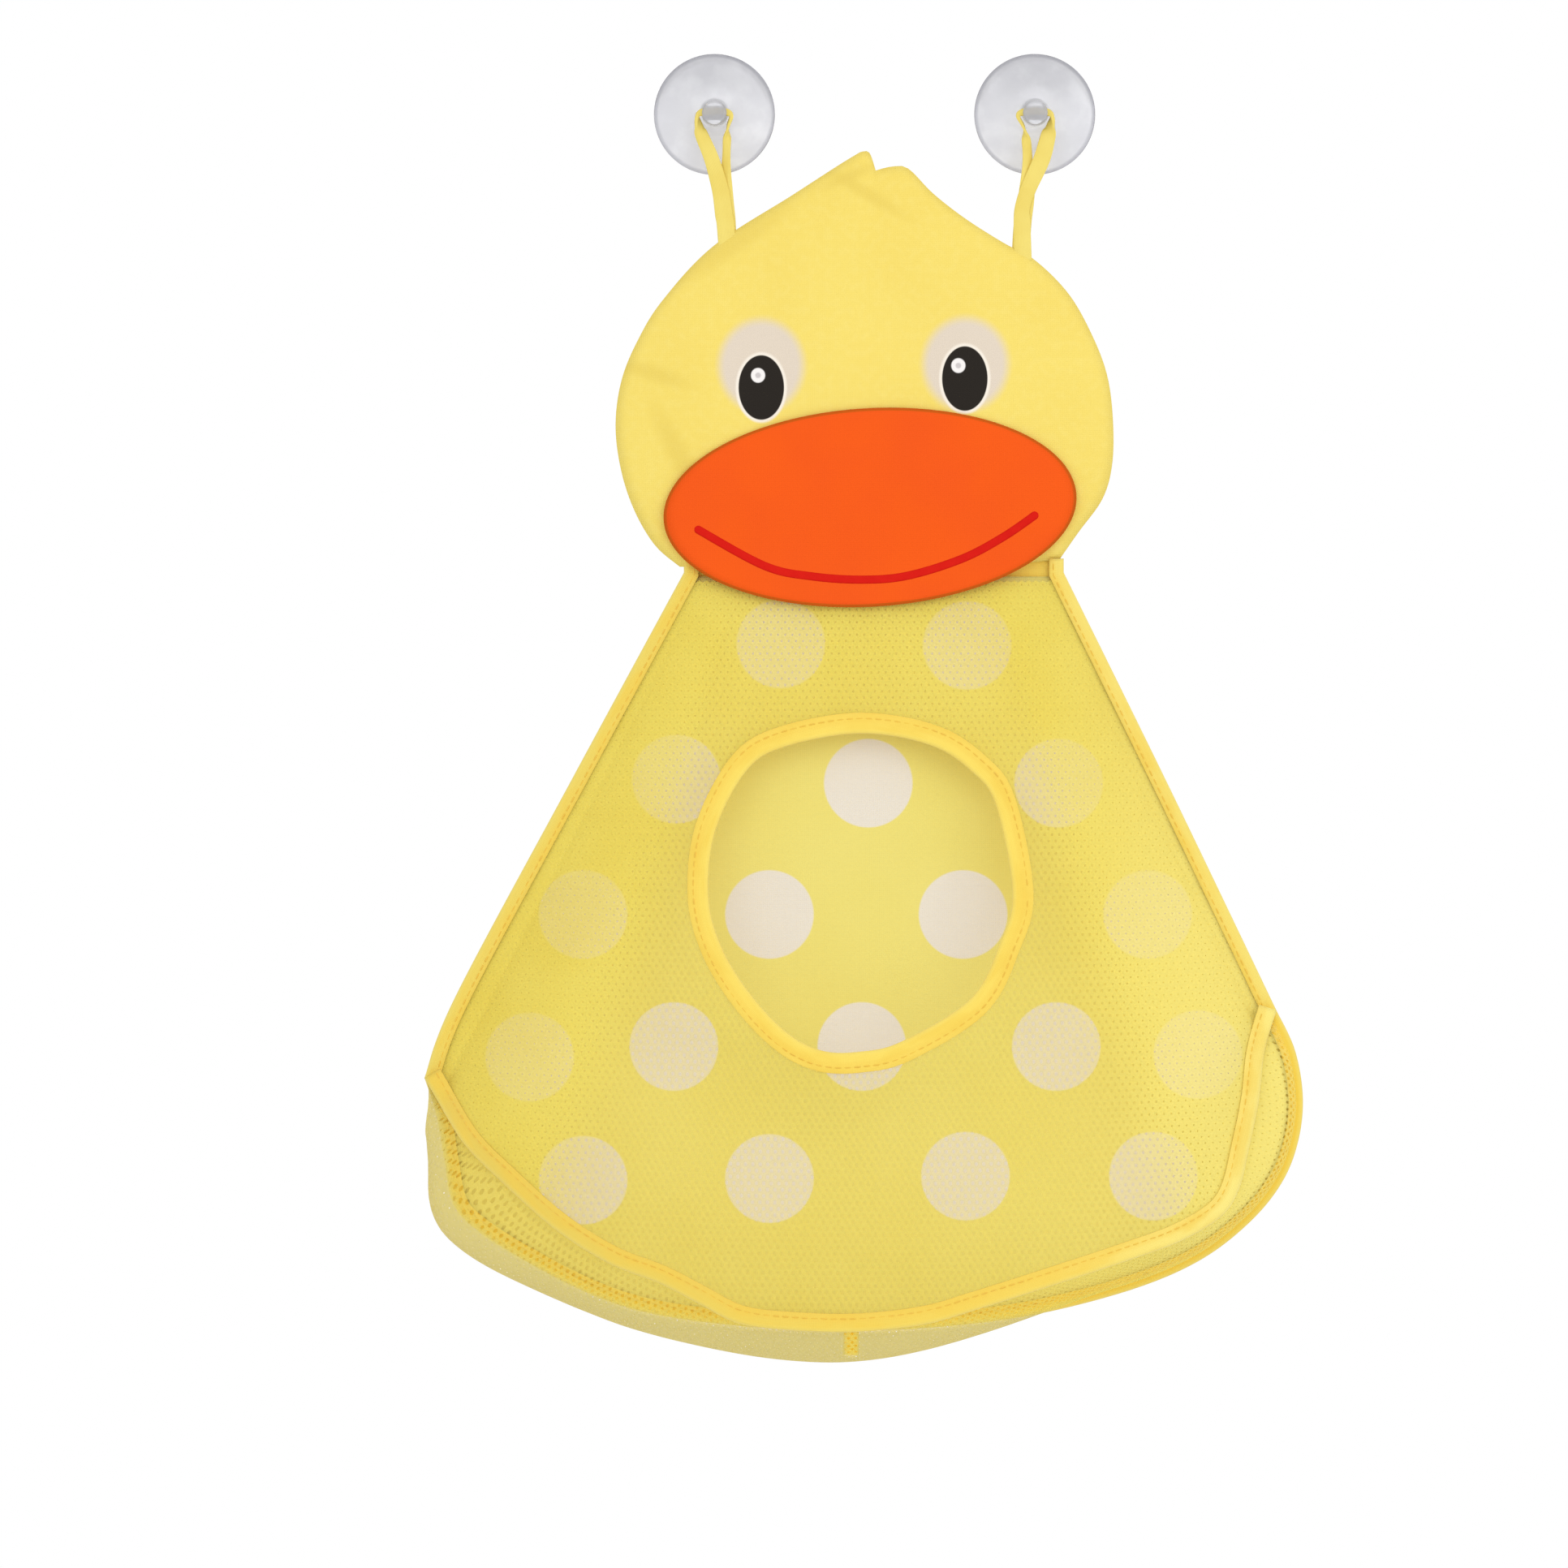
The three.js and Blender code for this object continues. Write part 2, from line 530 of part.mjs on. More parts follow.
// Ribbon loop: up from the seam, gathered through the knob hole and down again behind.
// Stations run outer leg, hole, inner leg; side is -1 for the left cup and 1 for the right.
function ribbonLoop(side) {
  const layer = RIBBON_STACK / 2 - RIBBON_THICKNESS / 2;
  const beside = KNOB_RADIUS + RIBBON_BUNDLE / 3;
  const legStation = ([lean, reach, drop, depth, width, thickness, wide]) => ({
    across: lean * RIBBON_LEAN + reach * beside,
    height: -drop * RIBBON_DROP,
    forward: depth * layer,
    width: width * RIBBON_WIDTH,
    thickness: thickness * RIBBON_THICKNESS,
    wide,
  });
  const holeStation = ([reach, knob, drop, thickness]) => ({
    across: reach * beside + knob * KNOB_RADIUS,
    height: -drop * RIBBON_BUNDLE,
    forward: 0,
    width: RIBBON_BUNDLE,
    thickness: thickness * RIBBON_BUNDLE,
    wide: [0, 1],
  });
  const seam = (depth) => [BEND_Z - RIBBON_THICKNESS / 2, BEND_Z + RIBBON_WIDTH / 2].map(
    (height) => ({ ...legStation([-1, 0, 1, depth, 1, 1, [1, 0]]), height }),
  );
  const stations = [
    ...seam(1),
    ...OUTER_LEG_SHARES.map(legStation),
    ...HOLE_SHARES.map(holeStation),
    ...INNER_LEG_SHARES.map(legStation),
    ...seam(-1).reverse(),
  ];
  const cupX = (side * CUP_SPACING) / 2;
  const curve = new THREE.CatmullRomCurve3(stations.map(({ across, height, forward }) => (
    new THREE.Vector3(cupX + side * across, HANG_Y - forward, height)
  )), false, "centripetal");
  const count = (stations.length - 1) * LOOP_STEPS;
  const rings = [];
  for (let i = 0; i <= count; i += 1) {
    const here = Math.min(stations.length - 2, Math.floor(i / LOOP_STEPS));
    const [from, to] = [stations[here], stations[here + 1]];
    const mix = (a, b) => THREE.MathUtils.lerp(a, b, i / LOOP_STEPS - here);
    const centre = curve.getPoint(i / count);
    const along = curve.getTangent(i / count);
    if (i === 0 || i === count) along.set(0, 0, i === 0 ? 1 : -1);
    const wide = new THREE.Vector3(side * mix(from.wide[0], to.wide[0]), -mix(from.wide[1], to.wide[1]), 0);
    wide.addScaledVector(along, -wide.dot(along)).normalize();
    const thick = along.clone().cross(wide);
    rings.push(RIBBON_SECTION_SHARES.map(([a, b]) => centre.clone()
      .addScaledVector(wide, (a * mix(from.width, to.width)) / 2)
      .addScaledVector(thick, (b * mix(from.thickness, to.thickness)) / 2)));
  }
  return loft(rings, false, RIBBON_SECTION_SHARES.map(([a, b]) => new THREE.Vector2(a, b)));
}

// The sewn end of a loop: from the bend down to the head's edge
function ribbonEnd(side) {
  const edges = ribbonEdges(side);
  const outline = [
    ...edges.map((x) => new THREE.Vector2(x, upperEdge(headOutline, x) + LAYER_GAP)),
    ...[...edges].reverse().map((x) => new THREE.Vector2(x, RIBBON_END_TOP)),
  ];
  return sheet(outline, [], HANG_Y - RIBBON_STACK / 2, HANG_Y + RIBBON_STACK / 2);
}

function headFront() {
  const face = FRONT_LAYER_Y - CLOTH_THICKNESS;
  return crownedSheet(
    headOutline, headCentre, HEAD_RING_SHARES,
    (x, z, reach) => face - headCrown(reach),
    (x, z, reach) => FRONT_LAYER_Y - headCrown(reach),
  );
}

function headPadding() {
  const outline = headOutline.filter((point, i) => i % 2 === 0);
  return crownedSheet(
    outline, headCentre, PADDING_RING_SHARES,
    (x, z, reach) => FRONT_LAYER_Y + LAYER_GAP - headCrown(reach),
    () => FRONT_LAYER_Y,
  );
}

function billPanel() {
  const turn = THREE.MathUtils.degToRad(BILL_TILT_DEGREES);
  const centre = new THREE.Vector2(BAG_SHIFT + BILL_SHIFT, HEAD_TOP_Z - BILL_DROP);
  const outline = ellipse(0, 0, BILL_HALF_WIDTH, BILL_HALF_HEIGHT, EDGE_STEP)
    .map((point) => point.rotateAround(new THREE.Vector2(), turn).add(centre));
  const lift = (x, z) => {
    const crown = headCrown(headReach(x, z));
    return (crown ** CROWN_EXPONENT + BILL_EDGE_LIFT ** CROWN_EXPONENT) ** (1 / CROWN_EXPONENT);
  };
  const backY = FRONT_LAYER_Y - CLOTH_THICKNESS - BILL_GAP;
  return crownedSheet(
    outline, centre, BILL_RING_SHARES,
    (x, z) => backY - CLOTH_THICKNESS - lift(x, z),
    (x, z) => backY - lift(x, z),
  );
}

function backPanel() {
  const outline = inset(panelOutline(backEdge), SHEET_INSET, true);
  return sheet(outline, [], BACK_LAYER_Y, BACK_LAYER_Y + CLOTH_THICKNESS);
}

// Front net: a plain band along each edge, and staggered diamond gaps between
const openingX = BAG_SHIFT + OPENING_SHIFT;
const openingZ = NECK_Z - OPENING_DROP;

const openingCurve = new THREE.CatmullRomCurve3(OPENING_EDGE_SHARES.map(([across, up]) => new THREE.Vector3(
  openingX + (across * OPENING_WIDTH) / 2, openingZ + (up * OPENING_HEIGHT) / 2, 0,
)), true, "catmullrom");
const openingEdge = openingCurve
  .getSpacedPoints(Math.max(LEAST_SIDES, Math.round(openingCurve.getLength() / EDGE_STEP)))
  .slice(0, -1)
  .map(({ x, y }) => new THREE.Vector2(x, y));

// The rim runs clockwise, so that its inward side is the net's
const openingRim = [...openingEdge].reverse();
const OPENING_BAND = OPENING_TAPE_WIDTH + SHEET_INSET;

// The netting's rows sag in the middle, and its columns spread towards the pocket's corners
function stretched(x, z) {
  const down = (NECK_Z - z) / POCKET_HEIGHT;
  const reach = (x - BAG_SHIFT) / POCKET_HALF_WIDTH;
  return new THREE.Vector2(
    x + NET_SPREAD * reach * down * down,
    z - NET_ROW_SAG * (1 - reach * reach) * down,
  );
}

function netGaps(outline) {
  const room = inset(outline, NET_STRAND, true);
  const across = NET_CELL_WIDTH / 2 - NET_STRAND / 2;
  const tall = NET_CELL_HEIGHT / 2 - NET_STRAND / 2;
  const ring = inset(openingRim, OPENING_BAND + NET_STRAND, true);
  const gaps = [];
  const rows = Math.ceil(POCKET_HEIGHT / (NET_CELL_HEIGHT / 2));
  const columns = Math.ceil(POCKET_HALF_WIDTH / NET_CELL_WIDTH);
  for (let row = 1; row <= rows; row += 1) {
    const z = NECK_Z - (row * NET_CELL_HEIGHT) / 2;
    for (let column = -columns; column <= columns; column += 1) {
      const x = BAG_SHIFT + (column + NET_OFFSET_SHARE + (row % 2) / 2) * NET_CELL_WIDTH;
      const gap = [[across, 0], [0, -tall], [-across, 0], [0, tall]]
        .map(([dx, dz]) => stretched(x + dx, z + dz));
      const fits = gap.every((point) => contains(room, point.x, point.y) && !contains(ring, point.x, point.y));
      const clearOfRing = ring.every((point) => !contains(gap, point.x, point.y));
      if (fits && clearOfRing) gaps.push(gap);
    }
  }
  return gaps;
}

function frontNet() {
  const places = [];
  const faces = [];
  const loops = [];
  const addLoop = (points) => points.map((point) => places.push(point) - 1);
  const flat = (point) => new THREE.Vector2(point.x, point.z);

  // The plain bands, from the tape to the netting
  const netEdges = [[panelOutline(frontEdge), BAND_WIDTH], [openingRim, OPENING_BAND]];
  const fieldLoops = netEdges.map(([edge, bandWidth]) => {
    const rows = placesAcross(edge, [SHEET_INSET, bandWidth], true, bandWidth);
    const near = addLoop(rows.map(([place]) => place));
    const far = addLoop(rows.map(([, place]) => place));
    near.forEach((a, i) => {
      const j = (i + 1) % near.length;
      faces.push([a, near[j], far[j]], [a, far[j], far[i]]);
    });
    loops.push(near);
    return far;
  });

  // The netting, with its gaps
  const [outer, ring] = fieldLoops;
  const gaps = netGaps(outer.map((index) => flat(places[index]))).map((gap) => addLoop(
    gap.map((point) => new THREE.Vector3(point.x, -pocketBulge(point.x, point.y), point.y)),
  ));
  loops.push(...gaps);
  const order = [...outer, ...ring, ...gaps.flat()];
  const asFlat = (loop) => loop.map((index) => flat(places[index]));
  for (const face of THREE.ShapeUtils.triangulateShape(asFlat(outer), [ring, ...gaps].map(asFlat))) {
    const [a, b, c] = face.map((index) => order[index]);
    const isClockwise = THREE.ShapeUtils.isClockWise(asFlat([a, b, c]));
    faces.push(isClockwise ? [a, c, b] : [a, b, c]);
  }

  // Two layers, with walls along every free edge
  const count = places.length;
  const layers = [FRONT_LAYER_Y - CLOTH_THICKNESS, FRONT_LAYER_Y];
  const points = layers.flatMap((y) => places.map((place) => place.clone().setY(place.y + y)));
  const walls = loops.flatMap((loop) => loop.flatMap((a, i) => {
    const b = loop[(i + 1) % loop.length];
    return [[b, a, a + count], [b, a + count, b + count]];
  }));
  const backFaces = faces.map(([a, b, c]) => [a + count, c + count, b + count]);
  return closedBody(points, [...faces, ...backFaces, ...walls]);
}

// A value that runs smoothly through a table of places and values
function valueAt(table, place) {
  const next = Math.max(1, table.findIndex(([at]) => at >= place));
  const [[from, low], [to, high]] = [table[next - 1], table[next]];
  return THREE.MathUtils.lerp(low, high, THREE.MathUtils.smoothstep(place, from, to));
}

// Gusset: the strip of net between the front edge and the back edge of the pocket floor. Its
// section is a curve that swells past the back edge and runs level into its binding.
function gusset() {
  const rim = new THREE.SplineCurve(frontEdge).getSpacedPoints(GUSSET_STEPS);
  const front = inset(rim, FRONT_TAPE_WIDTH / 2, false);
  const back = new THREE.SplineCurve(inset(backEdge, BACK_TAPE_WIDTH / 2, false)).getSpacedPoints(GUSSET_STEPS);
  const outwards = inset(back, -1, false);
  const rings = [];
  for (let i = 0; i <= GUSSET_STEPS; i += 1) {
    const bulge = pocketBulge(rim[i].x, rim[i].y);
    if (bulge < GUSSET_LEAST_DEPTH) continue;
    const innerBulge = pocketBulge(2 * front[i].x - rim[i].x, 2 * front[i].y - rim[i].y);
    const startY = HANG_Y - Math.min(bulge, innerBulge) + TAPE_HALF + LAYER_GAP;
    const endY = HANG_Y - TAPE_HALF - LAYER_GAP;
    const out = outwards[i].clone().sub(back[i]);
    const belly = GUSSET_BELLY * valueAt(GUSSET_BELLY_SHARES, i / GUSSET_STEPS);
    const width = Math.max(0, back[i].clone().sub(front[i]).dot(out));
    const swell = 2 * (belly + Math.sqrt(belly * (belly + width)));
    const outer = [];
    const inner = [];
    for (let k = 0; k <= GUSSET_RIBS; k += 1) {
      const share = k / GUSSET_RIBS;
      const ease = 1 - (1 - share) ** 2;
      const place = front[i].clone().lerp(back[i], ease).addScaledVector(out, swell * share * (1 - share));
      const y = THREE.MathUtils.lerp(startY, endY, share);
      outer.push(new THREE.Vector3(place.x, y, place.y));
      inner.unshift(new THREE.Vector3(
        place.x - out.x * GUSSET_THICKNESS, y, place.y - out.y * GUSSET_THICKNESS,
      ));
    }
    rings.push([...outer, ...inner]);
  }
  const cap = rings[0].map((point, i) => {
    const step = i <= GUSSET_RIBS ? i : 2 * GUSSET_RIBS + 1 - i;
    return new THREE.Vector2(step, i <= GUSSET_RIBS ? 0 : 1);
  });
  return loft(rings, false, cap);
}

function neckTape() {
  const half = NECK_TAPE_HEIGHT / 2;
  const margin = SIDE_TAPE_WIDTH + LAYER_GAP;
  const left = leftSide[0].x + margin;
  const right = rightSide[0].x - margin;
  const backY = BACK_LAYER_Y + CLOTH_THICKNESS + LAYER_GAP;
  const outline = [[left, -half], [right, -half], [right, half], [left, half]]
    .map(([x, z]) => new THREE.Vector2(x, NECK_Z + z));
  return sheet(outline, [], backY, backY + CLOTH_THICKNESS);
}

// The turned-under end of the binding, at the middle of the back edge
function bindingTab() {
  const edges = [-1, 1].map((side) => BAG_SHIFT + TAB_SHIFT + (side * TAB_WIDTH) / 2);
  const [left, right] = edges;
  const bottom = Math.min(...edges.map((x) => lowerEdge(panelOutline(backEdge), x))) - LAYER_GAP;
  const outline = [[left, 0], [left, -TAB_HEIGHT], [right, -TAB_HEIGHT], [right, 0]]
    .map(([x, drop]) => new THREE.Vector2(x, bottom + drop));
  return sheet(outline, [], HANG_Y - TAPE_WALL, HANG_Y + TAPE_WALL);
}

// Assembly
const toyBag = new THREE.Group();

function add(name, geometry, material) {
  const mesh = new THREE.Mesh(geometry, material);
  mesh.name = name;
  toyBag.add(mesh);
  return mesh;
}

for (const [name, side] of [["left", -1], ["right", 1]]) {
  add(`${name}_suction_cup`, suctionCup(), clearVinyl).position.x = (side * CUP_SPACING) / 2;
  add(`${name}_ribbon_loop`, ribbonLoop(side), ribbon);
  add(`${name}_ribbon_end`, ribbonEnd(side), ribbon);
}
add("head_front_panel", headFront(), headCloth);
add("head_padding", headPadding(), wadding);
add("head_back_panel", sheet(headOutline, [], BACK_LAYER_Y, BACK_LAYER_Y + CLOTH_THICKNESS), headCloth);
add("bill_panel", billPanel(), billCloth);
add("neck_tape", neckTape(), tape);
add("back_panel", backPanel(), dottedCloth);
add("front_net", frontNet(), netYarn);
add("gusset_net", gusset(), gussetYarn);
add("left_side_binding", tapeAlong(trimEnds(leftSide, TAPE_END_GAP), SIDE_TAPE_WIDTH, false, 0), tape);
add("right_side_binding", tapeAlong(trimEnds(rightSide, TAPE_END_GAP).reverse(), SIDE_TAPE_WIDTH, false, 0), tape);
add("back_bottom_binding", tapeAlong(trimEnds(backEdge, CORNER_LENGTH), BACK_TAPE_WIDTH, false, 0), tape);
add("front_bottom_binding", tapeAlong(frontEdge, FRONT_TAPE_WIDTH, false, BAND_WIDTH, standsClear), tape);
add("opening_binding", tapeAlong(openingRim, OPENING_TAPE_WIDTH, true, OPENING_BAND), tape);
add("binding_tab", bindingTab(), tape);

export default toyBag;
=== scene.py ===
"""Duck shaped bath toy bag, hung from two clear suction cups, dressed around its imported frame."""

import math

import bmesh
import bpy
import numpy as np
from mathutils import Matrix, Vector


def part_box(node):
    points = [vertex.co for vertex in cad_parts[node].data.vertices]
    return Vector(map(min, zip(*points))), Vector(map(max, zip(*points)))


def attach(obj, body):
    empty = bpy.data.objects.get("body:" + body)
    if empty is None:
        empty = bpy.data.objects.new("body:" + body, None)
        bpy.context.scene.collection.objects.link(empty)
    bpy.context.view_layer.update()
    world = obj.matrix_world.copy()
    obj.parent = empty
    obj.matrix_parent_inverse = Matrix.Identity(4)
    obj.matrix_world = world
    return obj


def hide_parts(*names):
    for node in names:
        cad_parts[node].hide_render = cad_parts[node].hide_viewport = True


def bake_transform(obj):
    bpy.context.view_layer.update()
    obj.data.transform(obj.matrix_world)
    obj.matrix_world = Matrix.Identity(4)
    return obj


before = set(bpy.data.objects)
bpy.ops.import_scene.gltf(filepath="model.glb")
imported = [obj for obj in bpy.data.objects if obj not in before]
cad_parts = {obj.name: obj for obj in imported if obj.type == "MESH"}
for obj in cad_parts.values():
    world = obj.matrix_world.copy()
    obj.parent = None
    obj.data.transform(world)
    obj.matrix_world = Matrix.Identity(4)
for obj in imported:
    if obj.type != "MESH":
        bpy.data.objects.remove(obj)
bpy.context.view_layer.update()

# Sizes, in millimetres
MM = 0.001
CUP_SPACING = 114.3
CUP_RADIUS = 21.6
CUP_RIM_LAND = 2.4
CUP_RIM_THICKNESS = 1.1
CUP_CAVITY_DEPTH = 2.6
CUP_CROWN_THICKNESS = 3.4
KNOB_RADIUS = 4.4
KNOB_ROOT_FILLET = 1.5
KNOB_EDGE_ROUND = 1.2
KNOB_HOLE_RADIUS = 2.4
KNOB_HOLE_WALL = 3.0
RIBBON_WIDTH = 6.3
RIBBON_THICKNESS = 0.6
RIBBON_LAYER_GAP = 0.3
RIBBON_BUNDLE = 3.1
RIBBON_DROP = 39.2
RIBBON_LEAN = 4.6
CLOTH = 0.5
CLOTH_WALL_SHARE = 0.8
LAYER_GAP = 0.3
HEAD_HALF_WIDTH = 88.6
HEAD_HEIGHT = 149.2
HEAD_CROWN = 4.5
HEAD_SLOPE = 62.0
BILL_HALF_WIDTH = 73.6
BILL_HALF_HEIGHT = 35.3
BILL_DROP = 126.7
BILL_SHIFT = 2.3
BILL_TILT = math.radians(3.5)
BILL_EDGE_LIFT = 3.2
BILL_GAP = 0.6
BILL_RIM = 1.0
BAG_SHIFT = -4.0
POCKET_HALF_WIDTH = 156.1
POCKET_HEIGHT = 271.9
POCKET_DEPTH = 57.0
BULGE_MARGIN = 8.0
NECK_GAP = 0.6
GUSSET_BELLY = 13.0
OPENING_WIDTH = 108.0
OPENING_HEIGHT = 111.0
OPENING_DROP = 113.7
OPENING_SHIFT = -1.2
SIDE_TAPE_WIDTH = 5.2
FRONT_TAPE_WIDTH = 6.5
OPENING_TAPE_WIDTH = 7.4
TAPE_HALF = 1.55
TAPE_SLOT = 1.0
STITCH_LENGTH = 2.3
STITCH_STEP = 3.4
STITCH_RADIUS = 0.2
NET_PITCH = 2.55
NET_ROW = 2.18
NET_ROW_SAG = 7.0
NET_SPREAD = 9.0

# Outlines, as shares of the half width and of the height, measured down from the top
HEAD_LEFT_SHARES = [
    (-0.739, 0.99), (-0.837, 0.94), (-0.919, 0.859), (-0.974, 0.762), (-0.997, 0.654),
    (-0.974, 0.547), (-0.909, 0.451), (-0.808, 0.354), (-0.603, 0.224), (-0.287, 0.103),
    (-0.094, 0.029), (-0.013, 0),
]
HEAD_TUFT_SHARES = [(-0.013, 0), (0.023, 0.001), (0.049, 0.044)]
HEAD_RIGHT_SHARES = [
    (0.049, 0.044), (0.111, 0.035), (0.179, 0.039), (0.28, 0.099), (0.41, 0.159),
    (0.564, 0.217), (0.687, 0.257), (0.824, 0.338), (0.919, 0.437), (0.98, 0.534),
    (1.003, 0.64), (1, 0.745), (0.961, 0.828), (0.863, 0.909), (0.788, 0.973),
]
HEAD_NECK_SHARES = [(0.788, 0.973), (0.41, 0.992), (0.026, 1), (-0.371, 0.998), (-0.739, 0.99)]
HEAD_CENTRE_SHARES = (0, 0.56)
LEFT_SIDE_SHARES = [(-0.41, 0), (-0.665, 0.27), (-0.932, 0.556), (-1.002, 0.662)]
RIGHT_SIDE_SHARES = [(0.457, 0), (0.697, 0.28), (0.942, 0.573)]
BACK_EDGE_SHARES = [
    (-1.002, 0.662), (-0.975, 0.71), (-0.957, 0.77), (-0.938, 0.825), (-0.893, 0.857),
    (-0.784, 0.898), (-0.621, 0.946), (-0.466, 0.973), (-0.24, 0.989), (0, 0.993),
    (0.22, 0.986), (0.418, 0.969), (0.625, 0.937), (0.771, 0.9), (0.88, 0.852),
    (0.952, 0.802), (0.99, 0.75), (1.003, 0.69), (0.985, 0.626), (0.942, 0.573),
]
FRONT_EDGE_SHARES = [
    (-1.002, 0.662), (-0.915, 0.743), (-0.821, 0.797), (-0.7, 0.857), (-0.579, 0.9),
    (-0.466, 0.925), (-0.38, 0.95), (-0.285, 0.977), (-0.165, 0.986), (-0.013, 0.988),
    (0.14, 0.978), (0.251, 0.96), (0.418, 0.93), (0.602, 0.896), (0.72, 0.872),
    (0.81, 0.842), (0.852, 0.808), (0.876, 0.755), (0.9, 0.69), (0.913, 0.63), (0.942, 0.573),
]

# The gusset's swelling along it, and the opening's edge as shares of its half width and height
GUSSET_BELLY_SHARES = [(0, 0.15), (0.05, 0.58), (0.13, 0.85), (0.25, 0.64), (0.44, 1), (0.68, 0), (1, 0)]
OPENING_EDGE_SHARES = [
    (1, 0), (0.89, 0.555), (0.74, 0.765), (0.46, 0.94), (0, 1.015), (-0.495, 0.93),
    (-0.75, 0.775), (-0.955, 0.385), (-0.998, -0.035), (-0.905, -0.365), (-0.71, -0.665),
    (-0.475, -0.9), (-0.25, -1.01), (0, -1.015), (0.27, -0.95), (0.725, -0.675), (0.92, -0.315),
]
FLARE_SHARE = 0.12
FLARE_REACH_SHARE = 0.08
BULGE_EXPONENT = 3.5
CROWN_EXPONENT = 4

# Ribbon stations, up the outer leg, through the knob's hole and down the inner leg: shares of the
# lean, of the reach beside the knob, of the drop, of a layer's depth, of the width and of the
# thickness, then the direction of the width
OUTER_LEG_SHARES = {
    "left": [
        (-0.86, 0, 1, 1, 1, 1, (1, 0)), (-0.74, 0, 0.92, 1, 1, 1, (1, 0)),
        (-0.47, 0, 0.7, 1, 0.95, 1, (1, 0)), (0.2, 0, 0.42, 1, 0.85, 1, (1, 0)),
        (0, 0.83, 0.2, 0.5, 0.75, 1.5, (1, 0)), (0, 1, 0.12, 0, 0.6, 1.8, (1, 1)),
    ],
    "right": [
        (-1.02, 0, 1, 1, 0.95, 1, (1, 0)), (-1, 0, 0.86, 1, 0.85, 1, (1, 0)),
        (-0.5, 0, 0.68, 1, 0.9, 1, (1, 0)), (0.5, 0, 0.42, 1, 0.95, 1, (1, 0)),
        (0, 0.86, 0.2, 0.5, 0.85, 1.5, (1, 0)), (0, 1, 0.12, 0, 0.6, 1.8, (1, 1)),
    ],
}
INNER_LEG_SHARES = {
    "left": [
        (0, -0.88, 0.14, -0.5, 0.5, 1.5, (0, 1)), (0, -0.79, 0.4, -1, 0.5, 1, (2, -1)),
        (-0.85, 0, 0.75, -1, 0.9, 1, (1, 0)), (-0.98, 0, 1, -1, 1, 1, (1, 0)),
    ],
    "right": [
        (0, -0.7, 0.15, -0.5, 0.5, 1.5, (0, 1)), (0, -0.5, 0.4, -1, 0.6, 1, (2, -1)),
        (-0.65, 0, 0.72, -1, 0.9, 1, (1, 0)), (-0.97, 0, 1, -1, 1, 1, (1, 0)),
    ],
}
SEAM_LEAN_SHARES = {"left": (-1, -1), "right": (-0.95, -1.15)}
HOLE_SHARES = [
    (1.11, 0, 0.4, 0.5), (0, 1, -0.1, 0.8), (0, 0, -0.2, 0.9), (0, -1, -0.1, 0.8), (-1.11, 0, 0.4, 0.5),
]

# Places worked out from the sizes and the frame
CUP_CROWN_Y = -(CUP_CAVITY_DEPTH + CUP_CROWN_THICKNESS)
HANG_Y = CUP_CROWN_Y - KNOB_HOLE_WALL - KNOB_HOLE_RADIUS
KNOB_FRONT_Y = HANG_Y - KNOB_HOLE_RADIUS - KNOB_HOLE_WALL
SEAM_X = CUP_SPACING / 2 - RIBBON_LEAN
FRONT_LAYER_Y = HANG_Y - LAYER_GAP / 2
BACK_LAYER_Y = HANG_Y + LAYER_GAP / 2
neck_low, neck_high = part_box("neck_tape")
NECK_Z = (neck_low.z + neck_high.z) / 2 / MM
HEAD_TOP_Z = NECK_Z + NECK_GAP + HEAD_HEIGHT
OPENING_X = BAG_SHIFT + OPENING_SHIFT
OPENING_Z = NECK_Z - OPENING_DROP

# The photograph's frame: where its pixels lie on the bag, for the camera and the print
PHOTO_SIDE = 1932
PIXEL = 0.2886
PHOTO_ORIGIN = (1078, 138)


def from_photo(across, down):
    return np.array([(across - PHOTO_ORIGIN[0]) * PIXEL, (PHOTO_ORIGIN[1] - down) * PIXEL])


def add_object(name, data):
    thing = bpy.data.objects.new(name, data)
    bpy.context.scene.collection.objects.link(thing)
    return thing


# Camera, far away and square to the wall; the photograph's scale holds in the pixel plane
CAMERA_DISTANCE = 6000
PIXEL_PLANE_Y = -22
SENSOR = 36
camera_data = bpy.data.cameras.new("camera")
camera = add_object("camera", camera_data)
middle_x, middle_z = from_photo(PHOTO_SIDE / 2, PHOTO_SIDE / 2)
camera.location = Vector((middle_x, PIXEL_PLANE_Y - CAMERA_DISTANCE, middle_z)) * MM
camera.rotation_euler = (math.pi / 2, 0, 0)
camera_data.sensor_width = SENSOR
camera_data.lens = SENSOR * CAMERA_DISTANCE / (PHOTO_SIDE * PIXEL)
camera_data.clip_end = 40
bpy.context.scene.camera = camera


# Curves in the plane
def spline(points, per_span=24):
    points = np.array(points, float)
    count = len(points)
    share = np.linspace(0, 1, per_span, endpoint=False)[:, None]
    runs = []
    for i in range(count - 1):
        a, b = points[i], points[i + 1]
        into = (b - points[max(i - 1, 0)]) / 2
        out = (points[min(i + 2, count - 1)] - a) / 2
        runs.append((2 * a - 2 * b + into + out) * share**3
                    + (3 * b - 3 * a - 2 * into - out) * share**2 + into * share + a)
    return np.concatenate([*runs, points[-1:]])


def run_lengths(points):
    steps = np.linalg.norm(np.diff(points, axis=0), axis=1)
    return np.concatenate([[0], np.cumsum(steps)])


def points_at(places, stations, points):
    """Points between the given ones, at places on the line of their stations."""
    return np.stack([np.interp(places, stations, column) for column in points.T], 1)


def spaced(points, count):
    lengths = run_lengths(points)
    return points_at(np.linspace(0, lengths[-1], count + 1), lengths, points)


def resample(points, step):
    dense = spline(points)
    return spaced(dense, max(2, round(run_lengths(dense)[-1] / step)))


def share_points(shares, half_width, height, top):
    return np.array(shares) * (half_width, -height) + (BAG_SHIFT, top)


